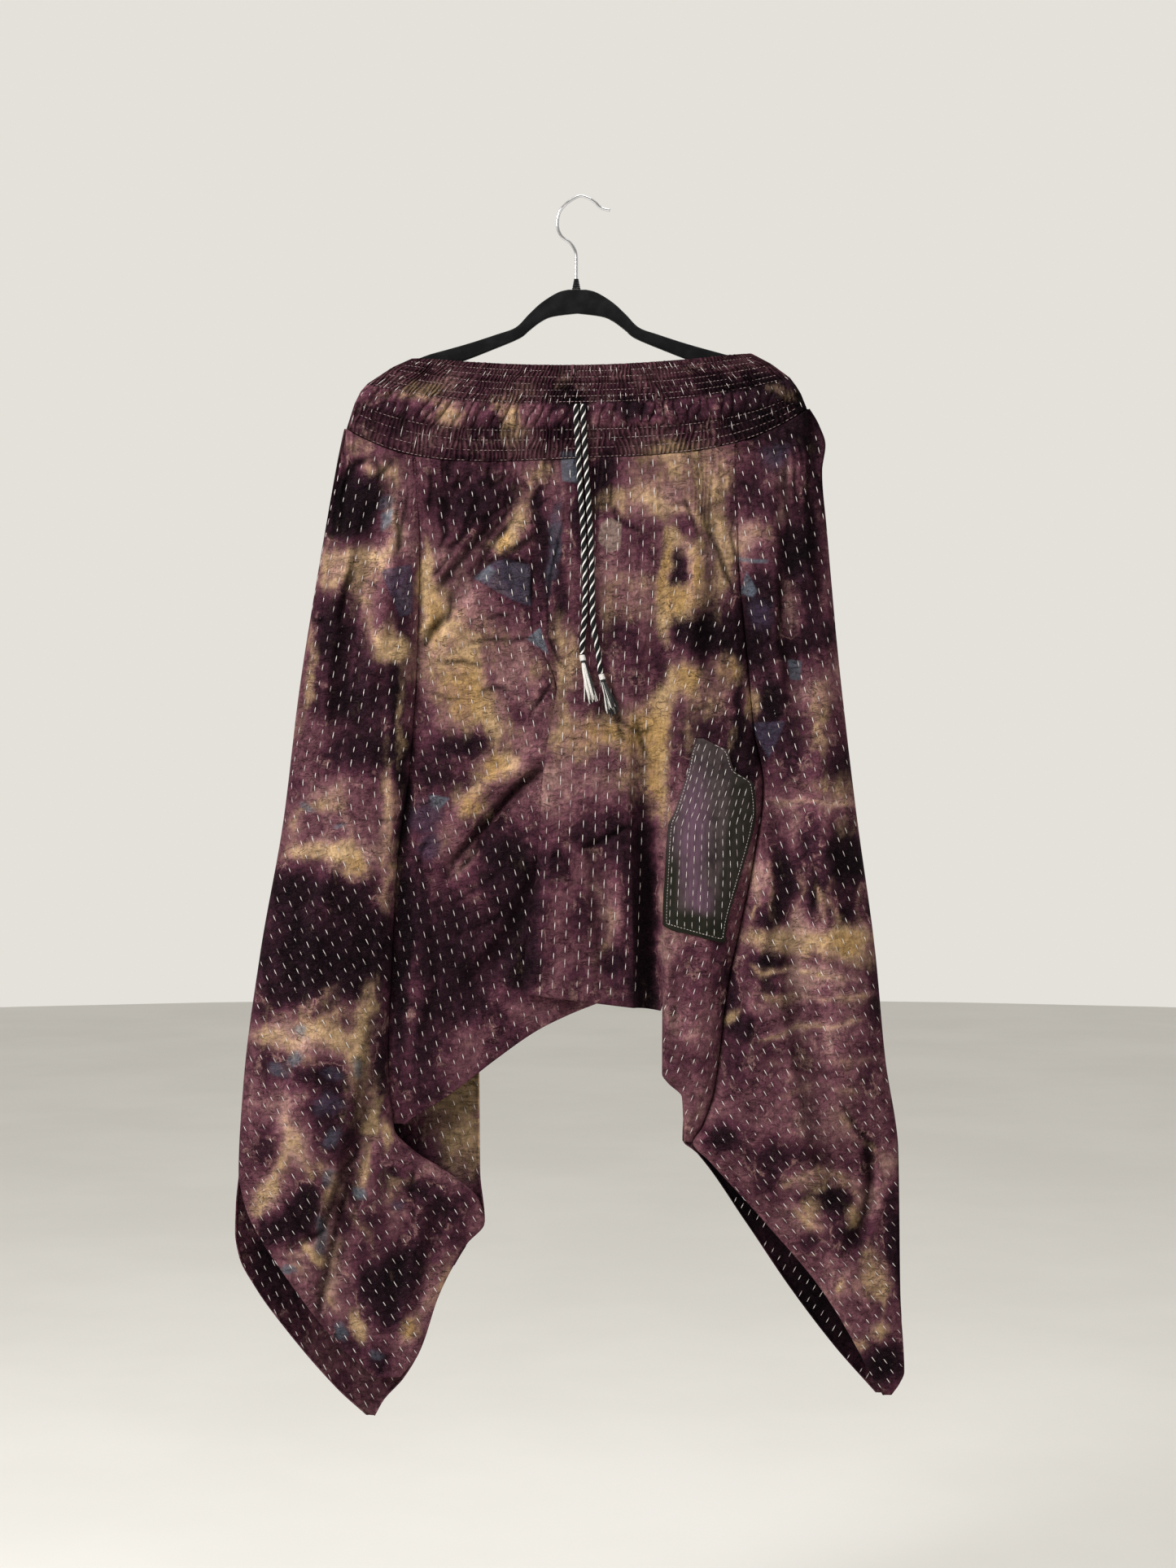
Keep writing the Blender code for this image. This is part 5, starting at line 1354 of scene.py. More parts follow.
def yoke_spots(side, first, last):
    """Ends of short upright stitches, scattered over a band of the waist."""
    rng = np.random.default_rng(61 if side == FRONT else 67)
    spots = []
    columns, stitch = 66, 0.36
    for column in range(columns):
        u = (column + 0.5 + rng.uniform(-0.2, 0.2)) / columns
        place = first + rng.uniform(0.0, 1.0)
        while place < last:
            ends = []
            for at in (place, place + stitch):
                x, _, z = waist_row(between_rows(at), u)
                ends += [x + rng.uniform(-0.3, 0.3), z]
            if place + stitch < last:
                spots.append(ends)
            place += rng.uniform(0.95, 1.45)
    return spots


def seam_spots(first, last):
    """Ends of the stitches of the sewn lines in a band of the waist."""
    spots = []
    steps = 104
    for line in ELASTIC_LINES:
        if first < line < last:
            for step in range(steps):
                u = 0.02 + 0.96 * step / steps
                x, _, z = waist_row(between_rows(line), np.array([u, u + 0.0066]))
                spots.append((x[0], z[0], x[1], z[1]))
    return spots


def patch_spots():
    """Ends of the dense upright stitches of the patch."""
    rng = np.random.default_rng(71)
    spots = []
    rows, gap, top, end_height = 13, 6.6, -549, -743
    for row in range(rows):
        z = top - rng.uniform(0, 9)
        while z > end_height:
            low = z - rng.uniform(5.5, 8.0)
            start, end = (through(PATCH[:-2], height) + 5
                          + gap * row * (1 + 0.12 * ease((-600 - height) / 90))
                          for height in (z, low))
            if (end > through(PATCH, low) + 2.5 and start < through(PATCH, z, 2) - 3
                    and end < through(PATCH, low, 2) - 3):
                spots.append((start, z, end, low))
            z = low - rng.uniform(2.6, 4.6)
    return spots


def edge_spots():
    """Ends of the stitches round the patch's edge."""
    left = [(through(PATCH, z) + 2.0, z) for z in np.linspace(-551, -729, 60)]
    low = [(mix(87, 140, t), mix(-730, -745, t)) for t in np.linspace(0.0, 1.0, 18)]
    right = [(through(PATCH, z, 2) - 2.0, z) for z in np.linspace(-744, -551, 66)]
    outline = left + low + right
    return [(x0, z0, mix(x0, x1, 0.68), mix(z0, z1, 0.68))
            for (x0, z0), (x1, z1) in zip(outline[:-1], outline[1:])]


# Materials

class Amount:
    """A value that changes over a surface: adding to it or multiplying it makes new nodes."""

    def __init__(self, recipe, socket):
        self.recipe = recipe
        self.socket = socket

    def __add__(self, other):
        return self.recipe.math("ADD", self, other)

    def __sub__(self, other):
        return self.recipe.math("SUBTRACT", self, other)

    def __rsub__(self, other):
        return self.recipe.math("SUBTRACT", other, self)

    def __mul__(self, other):
        return self.recipe.math("MULTIPLY", self, other)

    def __abs__(self):
        return self.recipe.math("ABSOLUTE", self)


class Recipe:
    """Builds one material, a node at a time."""

    def __init__(self, name):
        self.made = bpy.data.materials.new(name)
        self.made.use_nodes = True
        self.tree = self.made.node_tree
        self.shader = self.tree.nodes["Principled BSDF"]

    def node(self, kind, inputs=None, **settings):
        made = self.tree.nodes.new("ShaderNode" + kind)
        for key, value in settings.items():
            setattr(made, key, value)
        for key, value in (inputs or {}).items():
            self.join(value, made.inputs[key])
        return made

    def join(self, value, socket):
        value = value.socket if isinstance(value, Amount) else value
        if isinstance(value, bpy.types.NodeSocket):
            self.tree.links.new(value, socket)
        else:
            socket.default_value = value

    def finished(self, **inputs):
        for key, value in inputs.items():
            name = key.replace("_", " ").title().replace("Ior", "IOR")
            self.join(value, self.shader.inputs[name])
        return self.made

    def math(self, kind, *values):
        made = self.node("Math", dict(enumerate(values)), operation=kind)
        return Amount(self, made.outputs[0])

    def layer(self, name):
        """The four channels of a colour attribute."""
        stored = self.node("Attribute", attribute_name=name)
        parts = self.node("SeparateColor", {0: stored.outputs["Color"]})
        return [Amount(self, socket) for socket in (*parts.outputs, stored.outputs["Alpha"])]

    def place(self, scale=(1, 1, 1), turn=(0, 0, 0)):
        where = self.node("TexCoord").outputs["Object"]
        return self.node("Mapping", {"Vector": where, "Scale": scale, "Rotation": turn}).outputs[0]

    def noise(self, where, scale, detail=3.0, roughness=0.55, distortion=0.0):
        made = self.node("TexNoise", {"Vector": where, "Scale": scale, "Detail": detail,
                                      "Roughness": roughness, "Distortion": distortion})
        return Amount(self, made.outputs[0])

    def weave(self, where):
        """Height of a plain weave of fine threads."""
        size = 0.0009
        threads = [self.node("TexWave", {"Vector": where, "Scale": 0.32 / size, "Distortion": 1.2,
                                         "Detail": 1.0, "Detail Scale": 2.0}, bands_direction=way)
                   for way in ("X", "Z")]
        return self.math("MAXIMUM", *(thread.outputs[1] for thread in threads))

    def span(self, value, low, high, to_low=0.0, to_high=1.0):
        made = self.node("MapRange", {"Value": value, "From Min": low, "From Max": high,
                                      "To Min": to_low, "To Max": to_high},
                         interpolation_type="SMOOTHSTEP")
        return Amount(self, made.outputs[0])

    def ramp(self, value, stops):
        made = self.node("ValToRGB", {0: value})
        steps = made.color_ramp.elements
        for index, (place, colour) in enumerate(stops):
            step = steps[index] if index < 2 else steps.new(place)
            step.position = place
            step.color = colour
        return made.outputs[0]

    def blend(self, share, first, second, mode="MIX"):
        """One colour over another. A colour may be given as its three values."""
        first, second = ((*part, 1.0) if isinstance(part, tuple) else part
                         for part in (first, second))
        return self.node("Mix", {0: share, 6: first, 7: second}, data_type="RGBA",
                         blend_type=mode).outputs[2]

    def bump(self, height, distance, strength=1.0, under=None):
        inputs = {"Height": height, "Distance": distance, "Strength": strength}
        if under:
            inputs["Normal"] = under
        return self.node("Bump", inputs).outputs[0]


def hue(red, green, blue):
    """Scene-linear colour of a shade given as it looks on a screen, from 0 to 255."""
    return tuple(((c / 255 + 0.055) / 1.055) ** 2.4 if c > 10 else c / 3294.6
                 for c in (red, green, blue))


def kantha_material(name, colours, depth=1.0):
    """Over-dyed cotton: plum with dark blots, tan veins and old blue pieces, with painted shade in its
    gathers, creases and dips and painted light on its ridges.
    """
    r = Recipe(name)
    plum, mauve, dark, tan, gold, violet, teal = (
        tuple(getattr(colours, key))
        for key in ("plum", "mauve", "dark", "tan", "gold", "violet", "teal"))
    deep, lit, rust = (tuple(math.sqrt(a * b) for a, b in zip(*pair))
                       for pair in ((plum, dark), (plum, mauve), (mauve, tan)))
    where = r.place()
    blots, bare, old, age = r.layer("dye")
    # Painted shade of the creases, the gold dye, and the relief height that sets the painted light and
    # shade
    creases, shine, height, _ = r.layer("painted_shade_and_gold")
    phase, gathered, _, _ = r.layer("gather")
    cloud = r.noise(where, 17.0, 4.0, 0.6, 0.5) - 0.5
    mottle = r.noise(where, 85.0, 6.0, 0.66, 1.0) - 0.5
    streak = r.noise(r.place((1, 1, 0.28)), 88.0, 5.0, 0.68, 0.7) - 0.5
    level = blots + cloud * 0.7 + mottle * 0.52 + 0.04 + streak * 0.4
    body = r.ramp(level, [(place, (*colour, 1.0)) for place, colour in (
        (0.05, mauve), (0.24, lit), (0.42, plum), (0.66, deep), (0.88, dark))])
    rim = r.span(abs(level - 0.47), 0.0, 0.055, 1.0, 0.0)
    broken = r.span(r.noise(where, 42.0, 3.0), 0.46, 0.66)
    body = r.blend(rim * broken * 0.6, body, mauve)

    fleck = r.noise(where, 42.0, 5.0, 0.65, 0.8) - 0.5
    warm = bare + mottle * 0.6 + fleck * 0.5 + streak * 0.9
    ochre = r.blend(shine + mottle * 0.8, tan, gold)
    ochre = r.blend(r.span(warm, 0.25, 0.75), rust, ochre)
    body = r.blend(r.span(warm, 0.1, 0.95) * 0.84, body, ochre)
    piece = r.blend(age + mottle * 0.9, violet, teal)
    piece = r.blend(r.span(age, 1.1, 1.5), piece, hue(150, 130, 118))
    piece = r.blend(r.span(mottle, 0.0, 0.25, 0.0, 0.6), piece, plum)
    body = r.blend(r.span(old + mottle * 0.35, 0.3, 0.75) * 0.72, body, piece)
    fibre = r.noise(r.place((1, 1, 0.35)), 480.0, 3.0, 0.7)
    body = r.blend(r.span(fibre, 0.35, 0.8, 0.0, 0.4), body, dark)
    pale = r.span(r.noise(where, 1400.0, 2.0, 0.6), 0.55, 0.8, 0.0, 0.14)
    body = r.blend(pale, body, (0.46, 0.34, 0.31))

    # Painted light and shade, multiplied into the colour: darker in the gathers' troughs, along the
    # creases and valleys and in the dips of the relief, lighter on its ridges, and patchy from the
    # crumple noise and thin lines. A depth below 1 darkens all of it.
    ridge = r.math("COSINE", phase * (2 * math.pi)) * 0.5 + 0.5
    painted_gather_and_crease_shade = r.math("MAXIMUM", (1.0 - ridge) * (gathered * 0.72), creases * 0.7)
    crumple = r.noise(r.place((0.8, 1, 1.3), (0, 0.5, 0)), 105.0, 4.0, 0.6, 0.8)
    relief_light_and_shade = r.span(height, -3.8, 3.0, 0.5, 1.2) * r.span(crumple, 0.34, 0.6, 0.72, 1.1)
    lines = r.noise(r.place((0.62, 1, 1.5), (0, -0.35, 0)), 62.0, 3.0, 0.55, 1.3)
    lines = r.span(abs(lines - 0.5), 0.0, 0.016, 1.0, 0.0)
    lines = lines * r.span(r.noise(where, 36.0, 2.0), 0.42, 0.58)
    shadow = (1.0 - painted_gather_and_crease_shade) * (relief_light_and_shade * (1.0 - lines * 0.5) * depth)
    tone = r.node("CombineColor", {0: shadow, 1: shadow, 2: shadow}).outputs[0]
    body = r.blend(1.0, body, tone, "MULTIPLY")
    normal = r.bump(crumple + lines * -0.2, 0.007)
    normal = r.bump(r.noise(r.place((1, 1, 0.6)), 260.0, 5.0, 0.62, 0.4), 0.0016, 0.9, normal)
    normal = r.bump(ridge * gathered, 0.0022, 1.0, normal)
    normal = r.bump(r.weave(where), 0.00012, 0.5, normal)
    return r.finished(base_color=body, roughness=0.85, normal=normal, specular_ior_level=0.05)


def thread_material(name, light, dull):
    """Off-white cotton thread, some of it stained by the dye."""
    r = Recipe(name)
    fray = r.noise(r.place(), 900.0, 2.0)
    body = r.blend(r.layer("tint")[0], dull, light)
    body = r.blend(r.span(fray, 0.35, 0.7, 0.0, 0.3), body, dull)
    return r.finished(base_color=body, roughness=0.7, sheen_weight=0.1,
                      normal=r.bump(fray, 0.0002, 0.6))


def patch_material(name):
    """Grey cotton with a mauve middle and olive stripes at its left and bottom."""
    r = Recipe(name)
    where = r.place()
    mauve, olive, _, _ = r.layer("stain")
    cloud = r.noise(where, 60.0, 5.0, 0.6, 0.6)
    slub = r.noise(r.place((1, 1, 0.12)), 420.0, 3.0, 0.6)
    body = r.blend(r.span(cloud, 0.3, 0.7), hue(48, 40, 42), hue(76, 66, 66))
    body = r.blend(mauve, body, hue(96, 72, 86))
    body = r.blend(olive, body, hue(30, 30, 22))
    body = r.blend(r.span(slub, 0.4, 0.7, 0.0, 0.35), body, hue(36, 32, 30))
    normal = r.bump(r.weave(where), 0.00012, 0.5, r.bump(slub, 0.0007, 0.7))
    return r.finished(base_color=body, roughness=0.85, normal=normal, specular_ior_level=0.1)


def cord_material(name, black, white):
    """Four twisted strands, two of them off-white: the UV map turns once a twist."""
    r = Recipe(name)
    parts = r.node("SeparateXYZ", {0: r.node("UVMap", uv_map="twist").outputs[0]})
    across, along, _ = (Amount(r, socket) for socket in parts.outputs)
    strand = r.math("WRAP", across * (STRANDS / 2), 1.0, 0.0)
    pale = r.span(abs(strand - 0.5), 0.1, 0.135, 1.0, 0.0)
    fuzz = r.noise(r.place(), 1300.0, 2.0)
    body = r.blend(r.span(fuzz, 0.4, 0.8, 0.0, 0.1), r.blend(pale, black, white), hue(120, 116, 112))
    normal = r.bump(r.math("SINE", across * 18.0 + along * 7.0), 0.0002, 0.5)
    return r.finished(base_color=body, roughness=0.8, sheen_weight=0.02,
                      normal=r.bump(fuzz, 0.0003, 0.5, normal), specular_ior_level=0.12)


def velvet_material(name, colour):
    """Short flock: dark, with pale edges and a mottled nap."""
    r = Recipe(name)
    nap = r.noise(r.place(), 70.0, 4.0, 0.6)
    flock = r.noise(r.place(), 2200.0, 2.0, 0.7)
    body = r.blend(r.span(nap, 0.35, 0.7), tuple(colour), tuple(c * 2.2 for c in colour))
    return r.finished(base_color=body, roughness=0.95, sheen_weight=0.6, sheen_roughness=0.35,
                      normal=r.bump(flock, 0.0004, 0.8), specular_ior_level=0.1)


def chrome_material(name, colour):
    """Polished wire with faint drawing marks."""
    r = Recipe(name)
    marks = r.noise(r.place((1, 1, 0.1)), 1600.0, 2.0)
    return r.finished(base_color=(*colour, 1), metallic=1.0, normal=r.bump(marks, 0.00005, 0.4),
                      roughness=r.span(marks, 0.3, 0.7, 0.16, 0.28))


def floor_material(name):
    """Matt pale floor with faint clouds."""
    r = Recipe(name)
    cloud = r.noise(r.place(), 1.4, 4.0)
    body = r.blend(r.span(cloud, 0.3, 0.7), hue(238, 236, 231), hue(244, 242, 238))
    return r.finished(base_color=body, roughness=0.9)


def finish_of(name):
    """A material by name, made once."""
    return bpy.data.materials.get(name) or RECIPES[name](name)


RECIPES = {
    "quilted_cotton": lambda name: kantha_material(name, bpy.context.scene.pants_dye),
    # The inside is the same cloth at half brightness: painted shade
    "quilted_inside": lambda name: kantha_material(name, bpy.context.scene.pants_dye, 0.5),
    "quilting_thread": lambda name: thread_material(name, hue(242, 235, 229), hue(140, 108, 110)),
    "seam_thread": lambda name: thread_material(name, hue(186, 158, 156), hue(120, 92, 96)),
    "patch_cotton": patch_material,
    "twisted_strands": lambda name: cord_material(name, hue(12, 12, 14), hue(236, 232, 226)),
    "tassel_thread": lambda name: thread_material(name, hue(232, 228, 222), hue(14, 14, 16)),
    "velvet_flock": lambda name: velvet_material(name, bpy.context.scene.pants_hanger.velvet),
    "polished_wire": lambda name: chrome_material(name, bpy.context.scene.pants_hanger.chrome),
    "pale_floor": floor_material,
}


# Settings

def colour_setting(name, description, default):
    return FloatVectorProperty(name=name, description=description, default=default,
                               subtype="COLOR", size=3, min=0, max=1)


def size_setting(name, description, default, low, high):
    return FloatProperty(name=name, description=description, default=default, min=low, max=high,
                         unit="LENGTH")


class PantsDye(bpy.types.PropertyGroup):
    """Colours of the over-dyed cloth"""
    plum: colour_setting("Plum", "Main colour of the cloth", hue(84, 46, 60))
    mauve: colour_setting("Mauve", "Lighter clouds in the cloth", hue(175, 136, 128))
    dark: colour_setting("Dark plum", "Dark blots", hue(18, 7, 14))
    tan: colour_setting("Tan", "Places that the dye left tan", hue(207, 174, 130))
    gold: colour_setting("Gold", "Brightest places", hue(198, 160, 102))
    violet: colour_setting("Violet", "Darker old pieces", hue(62, 50, 70))
    teal: colour_setting("Teal", "Lighter old pieces", hue(118, 134, 144))


class PantsCloth(bpy.types.PropertyGroup):
    """Sizes of the quilted cloth and its stitches"""
    wall: size_setting("Cloth", "Thickness of the quilted cloth", 0.0016, 0.0005, 0.003)
    grid: size_setting("Front grid", "Step of the front panels' grid", 0.0027, 0.001, 0.02)
    back_grid: size_setting("Back grid", "Step of the back panels' grid", 0.0042, 0.001, 0.02)
    row_gap: size_setting("Row gap", "Distance between two stitch rows", 0.0118, 0.004, 0.04)
    stitch_step: size_setting("Stitch step", "From one stitch to the next", 0.0146, 0.005, 0.05)
    stitch_length: size_setting("Stitch length", "Length of one stitch", 0.0066, 0.002, 0.02)
    stitch_width: size_setting("Stitch width", "Width of the thread", 0.00082, 0.0003, 0.003)
    gathers: IntProperty(name="Gathers", description="Gathers across the yoke", default=98,
                         min=20, max=200)


class PantsHanger(bpy.types.PropertyGroup):
    """Finish of the hanger"""
    velvet: colour_setting("Velvet", "Colour of the flock", hue(14, 14, 15))
    chrome: colour_setting("Chrome", "Colour of the wire", (0.72, 0.72, 0.74))
    rounding: size_setting("Rounding", "Rounding of the hanger's edges", 0.0017, 0.0002, 0.0026)


# Pieces

class PANTS_OT_stage(bpy.types.Operator):
    """Add the camera, the soft light and the pale floor"""
    bl_idname = "pants.stage"
    bl_label = "Camera, light and floor"

    def execute(self, context):
        scene = context.scene
        camera = bpy.data.cameras.new("camera")
        camera.sensor_fit = "VERTICAL"
        camera.sensor_height = 36
        camera.lens = 54.7
        camera.clip_end = 60
        scene.camera = self.place(camera, (0.0078, -2.4, -0.5908), (math.radians(90), 0, 0))
        for name, place, size, power, aim in (
                ("key_light", (-2.1, -1.7, 1.1), 1.3, 97, (0, 0, -0.6)),
                ("fill_light", (1.9, -2.4, -0.3), 1.8, 12, (0, 0, -0.7)),
                ("top_light", (0.0, -0.7, 1.8), 1.6, 24, (0, 0, -0.9))):
            lamp = bpy.data.lights.new(name, "AREA")
            lamp.shape = "DISK"
            lamp.size = size
            lamp.energy = power
            way = Vector(aim) - Vector(place)
            self.place(lamp, place, way.to_track_quat("-Z", "Y").to_euler())
        scene.world = self.room()
        scene.view_settings.view_transform = "Standard"
        bm = bmesh.new()
        bmesh.ops.create_circle(bm, cap_ends=True, segments=64, radius=9)
        bmesh.ops.translate(bm, verts=bm.verts, vec=(0, 0, FLOOR))
        put(mesh_of(bm, "floor"), finish_of("pale_floor"))
        return {"FINISHED"}

    def place(self, data, location, rotation):
        obj = bpy.data.objects.new(data.name, data)
        obj.location = location
        obj.rotation_euler = rotation
        bpy.context.scene.collection.objects.link(obj)
        return obj

    def room(self):
        """A pale world, dimmer on the side that the front of the pants faces."""
        world = bpy.data.worlds.new("pale_room")
        world.use_nodes = True
        links, nodes = world.node_tree.links, world.node_tree.nodes
        sky = nodes["Background"]
        way = nodes.new("ShaderNodeTexCoord")
        split = nodes.new("ShaderNodeSeparateXYZ")
        share = nodes.new("ShaderNodeMapRange")
        for name, value in (("From Min", -0.7), ("From Max", 0.7), ("To Min", 0.36), ("To Max", 1.0)):
            share.inputs[name].default_value = value
        links.new(way.outputs["Generated"], split.inputs[0])
        links.new(split.outputs["Y"], share.inputs["Value"])
        links.new(share.outputs[0], sky.inputs["Strength"])
        sky.inputs["Color"].default_value = (*hue(228, 225, 218), 1)
        return world


class PANTS_OT_drawstring(bpy.types.Operator):
    """Add the drawstring's two free ends and their tassels"""
    bl_idname = "pants.drawstring"
    bl_label = "Drawstring"

    def execute(self, context):
        for word, points, tip in (("left", CORD_LEFT, TASSEL_LEFT),
                                  ("right", CORD_RIGHT, TASSEL_RIGHT)):
            route = resample(points, 0.9)
            mesh = smooth_tube("drawstring_" + word + "_cord", route, CORD_DIAMETER / 2 * 1.02, 20,
                               0.13, CORD_PITCH)
            cord = fit(mesh, "twisted_cord", "drawstring_" + word, finish_of("twisted_strands"))
            tassel = self.tassel(word, route[-1], np.array(tip, float))
        return {"FINISHED"}

    def tassel(self, word, top, tip):
        """A wound head, and threads that hang from it and fan out a little."""
        rng = np.random.default_rng(7 if word == "left" else 11)
        down = unit(tip - top)
        side = unit(np.cross(down, [0.0, 1.0, 0.0]))
        front = np.cross(side, down)
        skirt = np.linalg.norm(tip - top) - TASSEL_HEAD
        turns, threads = 8, 36
        middle = (turns - 1) / 2
        count = turns + threads
        mesh, local, which = many(spindle(9, 5, 0.7), count, "tassel_" + word + "_threads")
        seeds = rng.uniform(-1, 1, (count, 4))
        at, tint = np.zeros(local.shape), np.zeros(count)
        for index in range(count):
            mine = which == index
            across, out, s = local[mine, :1], local[mine, 1:2], (local[mine, 2:] + 1) / 2
            if index < turns:
                angle = 2 * np.pi * 1.06 * (s - 0.5)
                spoke = side * np.cos(angle) + front * np.sin(angle)
                core = top + down * (0.9 + (TASSEL_HEAD - 1.4) * (index + s) / turns)
                radius = 2.75 - 0.25 * abs(index - middle) / middle
                at[mine] = core + spoke * (radius + 0.5 * across) + down * 0.62 * out
                tint[index] = index < 6
                continue
            angle = 2 * np.pi * index * GOLDEN_TURN
            spoke = side * math.cos(angle) + front * math.sin(angle)
            length = skirt * (0.86 + 0.14 * seeds[index, 0])
            fan = 1.8 + 3.6 * s + 1.4 * np.sin(3.0 * s + seeds[index, 1] * 3) * s
            fan = fan * math.sqrt((index - turns + 0.5) / threads)
            sway = side * seeds[index, 2] * 2.6 * s ** 2 + front * seeds[index, 3] * 0.5 * s ** 2
            core = top + down * (TASSEL_HEAD - 1.0 + s * (length + 1.0))
            at[mine] = core + spoke * fan + sway + (side * across + front * out) * 0.68
            tint[index] = (index * 7) % 5 < (3 if word == "left" else 2)
        at[:, 1] = np.minimum(at[:, 1], top[1] + 2.0)
        move_to(mesh, at * MM)
        colour_layer(mesh, "tint", tint[which], 0, 0)
        return fit(mesh, "twisted_cord", "tassel_" + word, finish_of("tassel_thread"))


def waist_points(first, last, steps, columns, settings, side, drop):
    """Grid of a gathered band between two of the waist's rows: x, depth, z, relief, gathers."""
    place = np.linspace(first, last, steps + 1)
    ends = 0.5 * (1 - np.cos(np.linspace(0, np.pi / 2, 8)))
    u = np.concatenate([ends * 0.02, np.linspace(0.0135, 0.9865, columns), 1 - ends[::-1] * 0.02])
    u = np.unique(np.round(u, 6))[None, :]
    x, depth, z = waist_row(between_rows(place).T[:, :, None], u)
    z = z - drop * (place == place[0])[:, None]
    relief, phase, amount = shirring(place[:, None] + 0 * u, u + 0 * place[:, None], x, z,
                                     settings, side)
    rim = ease(np.minimum(u, 1 - u) / 0.012)
    depth = np.maximum(depth + YOKE_WALL * 0.9 + relief * rim, SEAM_GAP / 2 + 1.6 * rim)
    depth[:, 0] = depth[:, -1] = SEAM_GAP / 2
    # The fourth value is the relief pushed down for painted shade: flat gaps, sewn lines and the cloth
    # flattened under the drawstring come out darker, the puffs lighter
    return np.stack([x, depth, z, 2.2 * relief - 3.6, phase, amount], axis=-1)


def shirring(place, u, x, z, settings, side):
    """Height of the gathers over the waist, their phase and their amount."""
    shift = 0.0 if side == FRONT else 9.0
    warp = ripple(u * 52 + shift, place * 1.9, 1.0, 83) * 0.5 + ripple(u * 15, place, 1.0, 87)
    phase = u * settings.gathers + warp * 1.2
    fine = wave(phase)
    uneven = 0.75 + 0.45 * ripple(u * 40 + shift, place * 1.3, 1.0, 89)
    bulge = ease((place - CHANNEL_TOP) / 0.35) * ease((CHANNEL_END - place) / 0.5)
    cells = ripple((u + 0.012 * (place - 3)) * 38 + shift, place * 0.7, 1.0, 97)
    bunch = u * 36 + 0.45 * ripple(u * 30 + shift, place * 0.8, 1.0, 103) + 0.3 * (place - 3)
    puff = np.abs(np.sin(np.pi * bunch)) ** 0.8 * (3.4 + 1.4 * cells)
    coarse = wave(u * 52 + warp * 1.6)
    relief = mix((1.1 * fine + 0.8 * coarse) * uneven, 0.2 * fine + puff, bulge)
    for line in ELASTIC_LINES:
        relief = relief - 0.8 * np.exp(-((place - line) / 0.06) ** 2)
    frill = ease((0.3 - place) / 0.3)
    relief = relief + frill * 0.5 * np.cos(2 * np.pi * (u * 66 + warp))
    amount = uneven * mix(0.85, 0.15, bulge)
    return np.clip(relief, -0.5, 4.2) * beneath_cord(x, z), phase, amount


class PANTS_OT_waist(bpy.types.Operator):
    """Add the gathered waist: the casing's edge and the shirred yoke, front and back"""
    bl_idname = "pants.waist"
    bl_label = "Shirred waist"

    def execute(self, context):
        for side, word, columns, scale in ((FRONT, "front", 440, 1), (BACK, "back", 280, 0.6)):
            for name, first, last, steps, drop, flat in (
                    ("waist_casing_", 0.0, 1.0, 15, 0.0, (0.50, 0.020)),
                    ("yoke_", 1.0, 5.0, 62, SEAM_GAP + 0.1, (0.60, 0.082))):
                points = waist_points(first, last, int(steps * scale), columns,
                                      context.scene.pants_cloth, side, drop)
                obj = quilted_piece(name + word, "yoke_cloth", points, side, 1.1, ())
        return {"FINISHED"}


class PANTS_OT_panels(bpy.types.Operator):
    """Add the legs and the plain back as quilted panels"""
    bl_idname = "pants.panels"
    bl_label = "Legs and back"

    def execute(self, context):
        cloth = context.scene.pants_cloth
        for panel, side, left, right, depths, stops, width, bottom, flat, area in PANELS:
            step = (cloth.grid if side == FRONT else cloth.back_grid) * 1000
            points = panel_points(panel, ladder(step, *stops), left, right, depths,
                                  int(width / step), cloth, bottom)
            obj = quilted_piece(panel, "kantha_cloth", points, side, cloth.wall * 1000, (panel,))
            "yoke_" + panel.split("_")[-1]
        return {"FINISHED"}


class PANTS_OT_centre(bpy.types.Operator):
    """Add the centre front with its deep pleat"""
    bl_idname = "pants.centre"
    bl_label = "Centre front"

    def execute(self, context):
        cloth = context.scene.pants_cloth
        levels = ladder(cloth.grid * 1000, PANEL_TOP, PLEAT_SPLIT, CROTCH_END, -950)
        points, keep = centre_points(levels, cloth)
        obj = quilted_piece("centre_front", "kantha_cloth", points, FRONT, cloth.wall * 1000,
                            ("belly", "pleat", "belly_right"), keep)
        return {"FINISHED"}


class PANTS_OT_patch(bpy.types.Operator):
    """Add the patch on the right of the belly"""
    bl_idname = "pants.patch"
    bl_label = "Patch"

    def execute(self, context):
        rows, columns = 96, 40
        points = np.zeros((rows, columns, 3))
        for row, z in enumerate(np.linspace(PATCH[0][0], PATCH[-1][0], rows)):
            across = np.linspace(through(PATCH, z), through(PATCH, z, 2), columns)
            for column, x in enumerate(across):
                spot, normal, _, _ = cast("centre_front", x, z, FRONT)
                if spot is None:
                    raise RuntimeError("the patch reaches past the cloth under it")
                out = spot + normal * 2.1 * MM
                points[row, column] = (out.x / MM, -out.y / MM, out.z / MM)
        depth = points[:, :, 1]
        for _ in range(3):
            around = (depth[:-2, 1:-1] + depth[2:, 1:-1] + depth[1:-1, :-2] + depth[1:-1, 2:]) / 4
            depth[1:-1, 1:-1] = np.maximum(mix(depth[1:-1, 1:-1], around, 0.5),
                                           depth[1:-1, 1:-1] - 0.25)
        mesh, at = grid_mesh("patch_piece", points)
        x, z = at[:, 0], at[:, 2]
        mauve = np.maximum(blot(x, z, 112, -640, 14, 56, 4), blot(x, z, 116, -700, 12, 24, -14))
        olive = np.maximum(ease((through(PATCH, z) + 17 - x) / 9) * ease((-640 - z) / 40),
                           ease((-706 - z - 0.2 * (x - 90)) / 14))
        olive = np.maximum(olive, ease((x - 141 - 0.12 * (z + 640)) / 8) * 0.75)
        colour_layer(mesh, "stain", mauve, olive, 0)
        obj = fit_cloth(mesh, "patch_cloth", "patch", 1.2, finish_of("patch_cotton"))
        return {"FINISHED"}


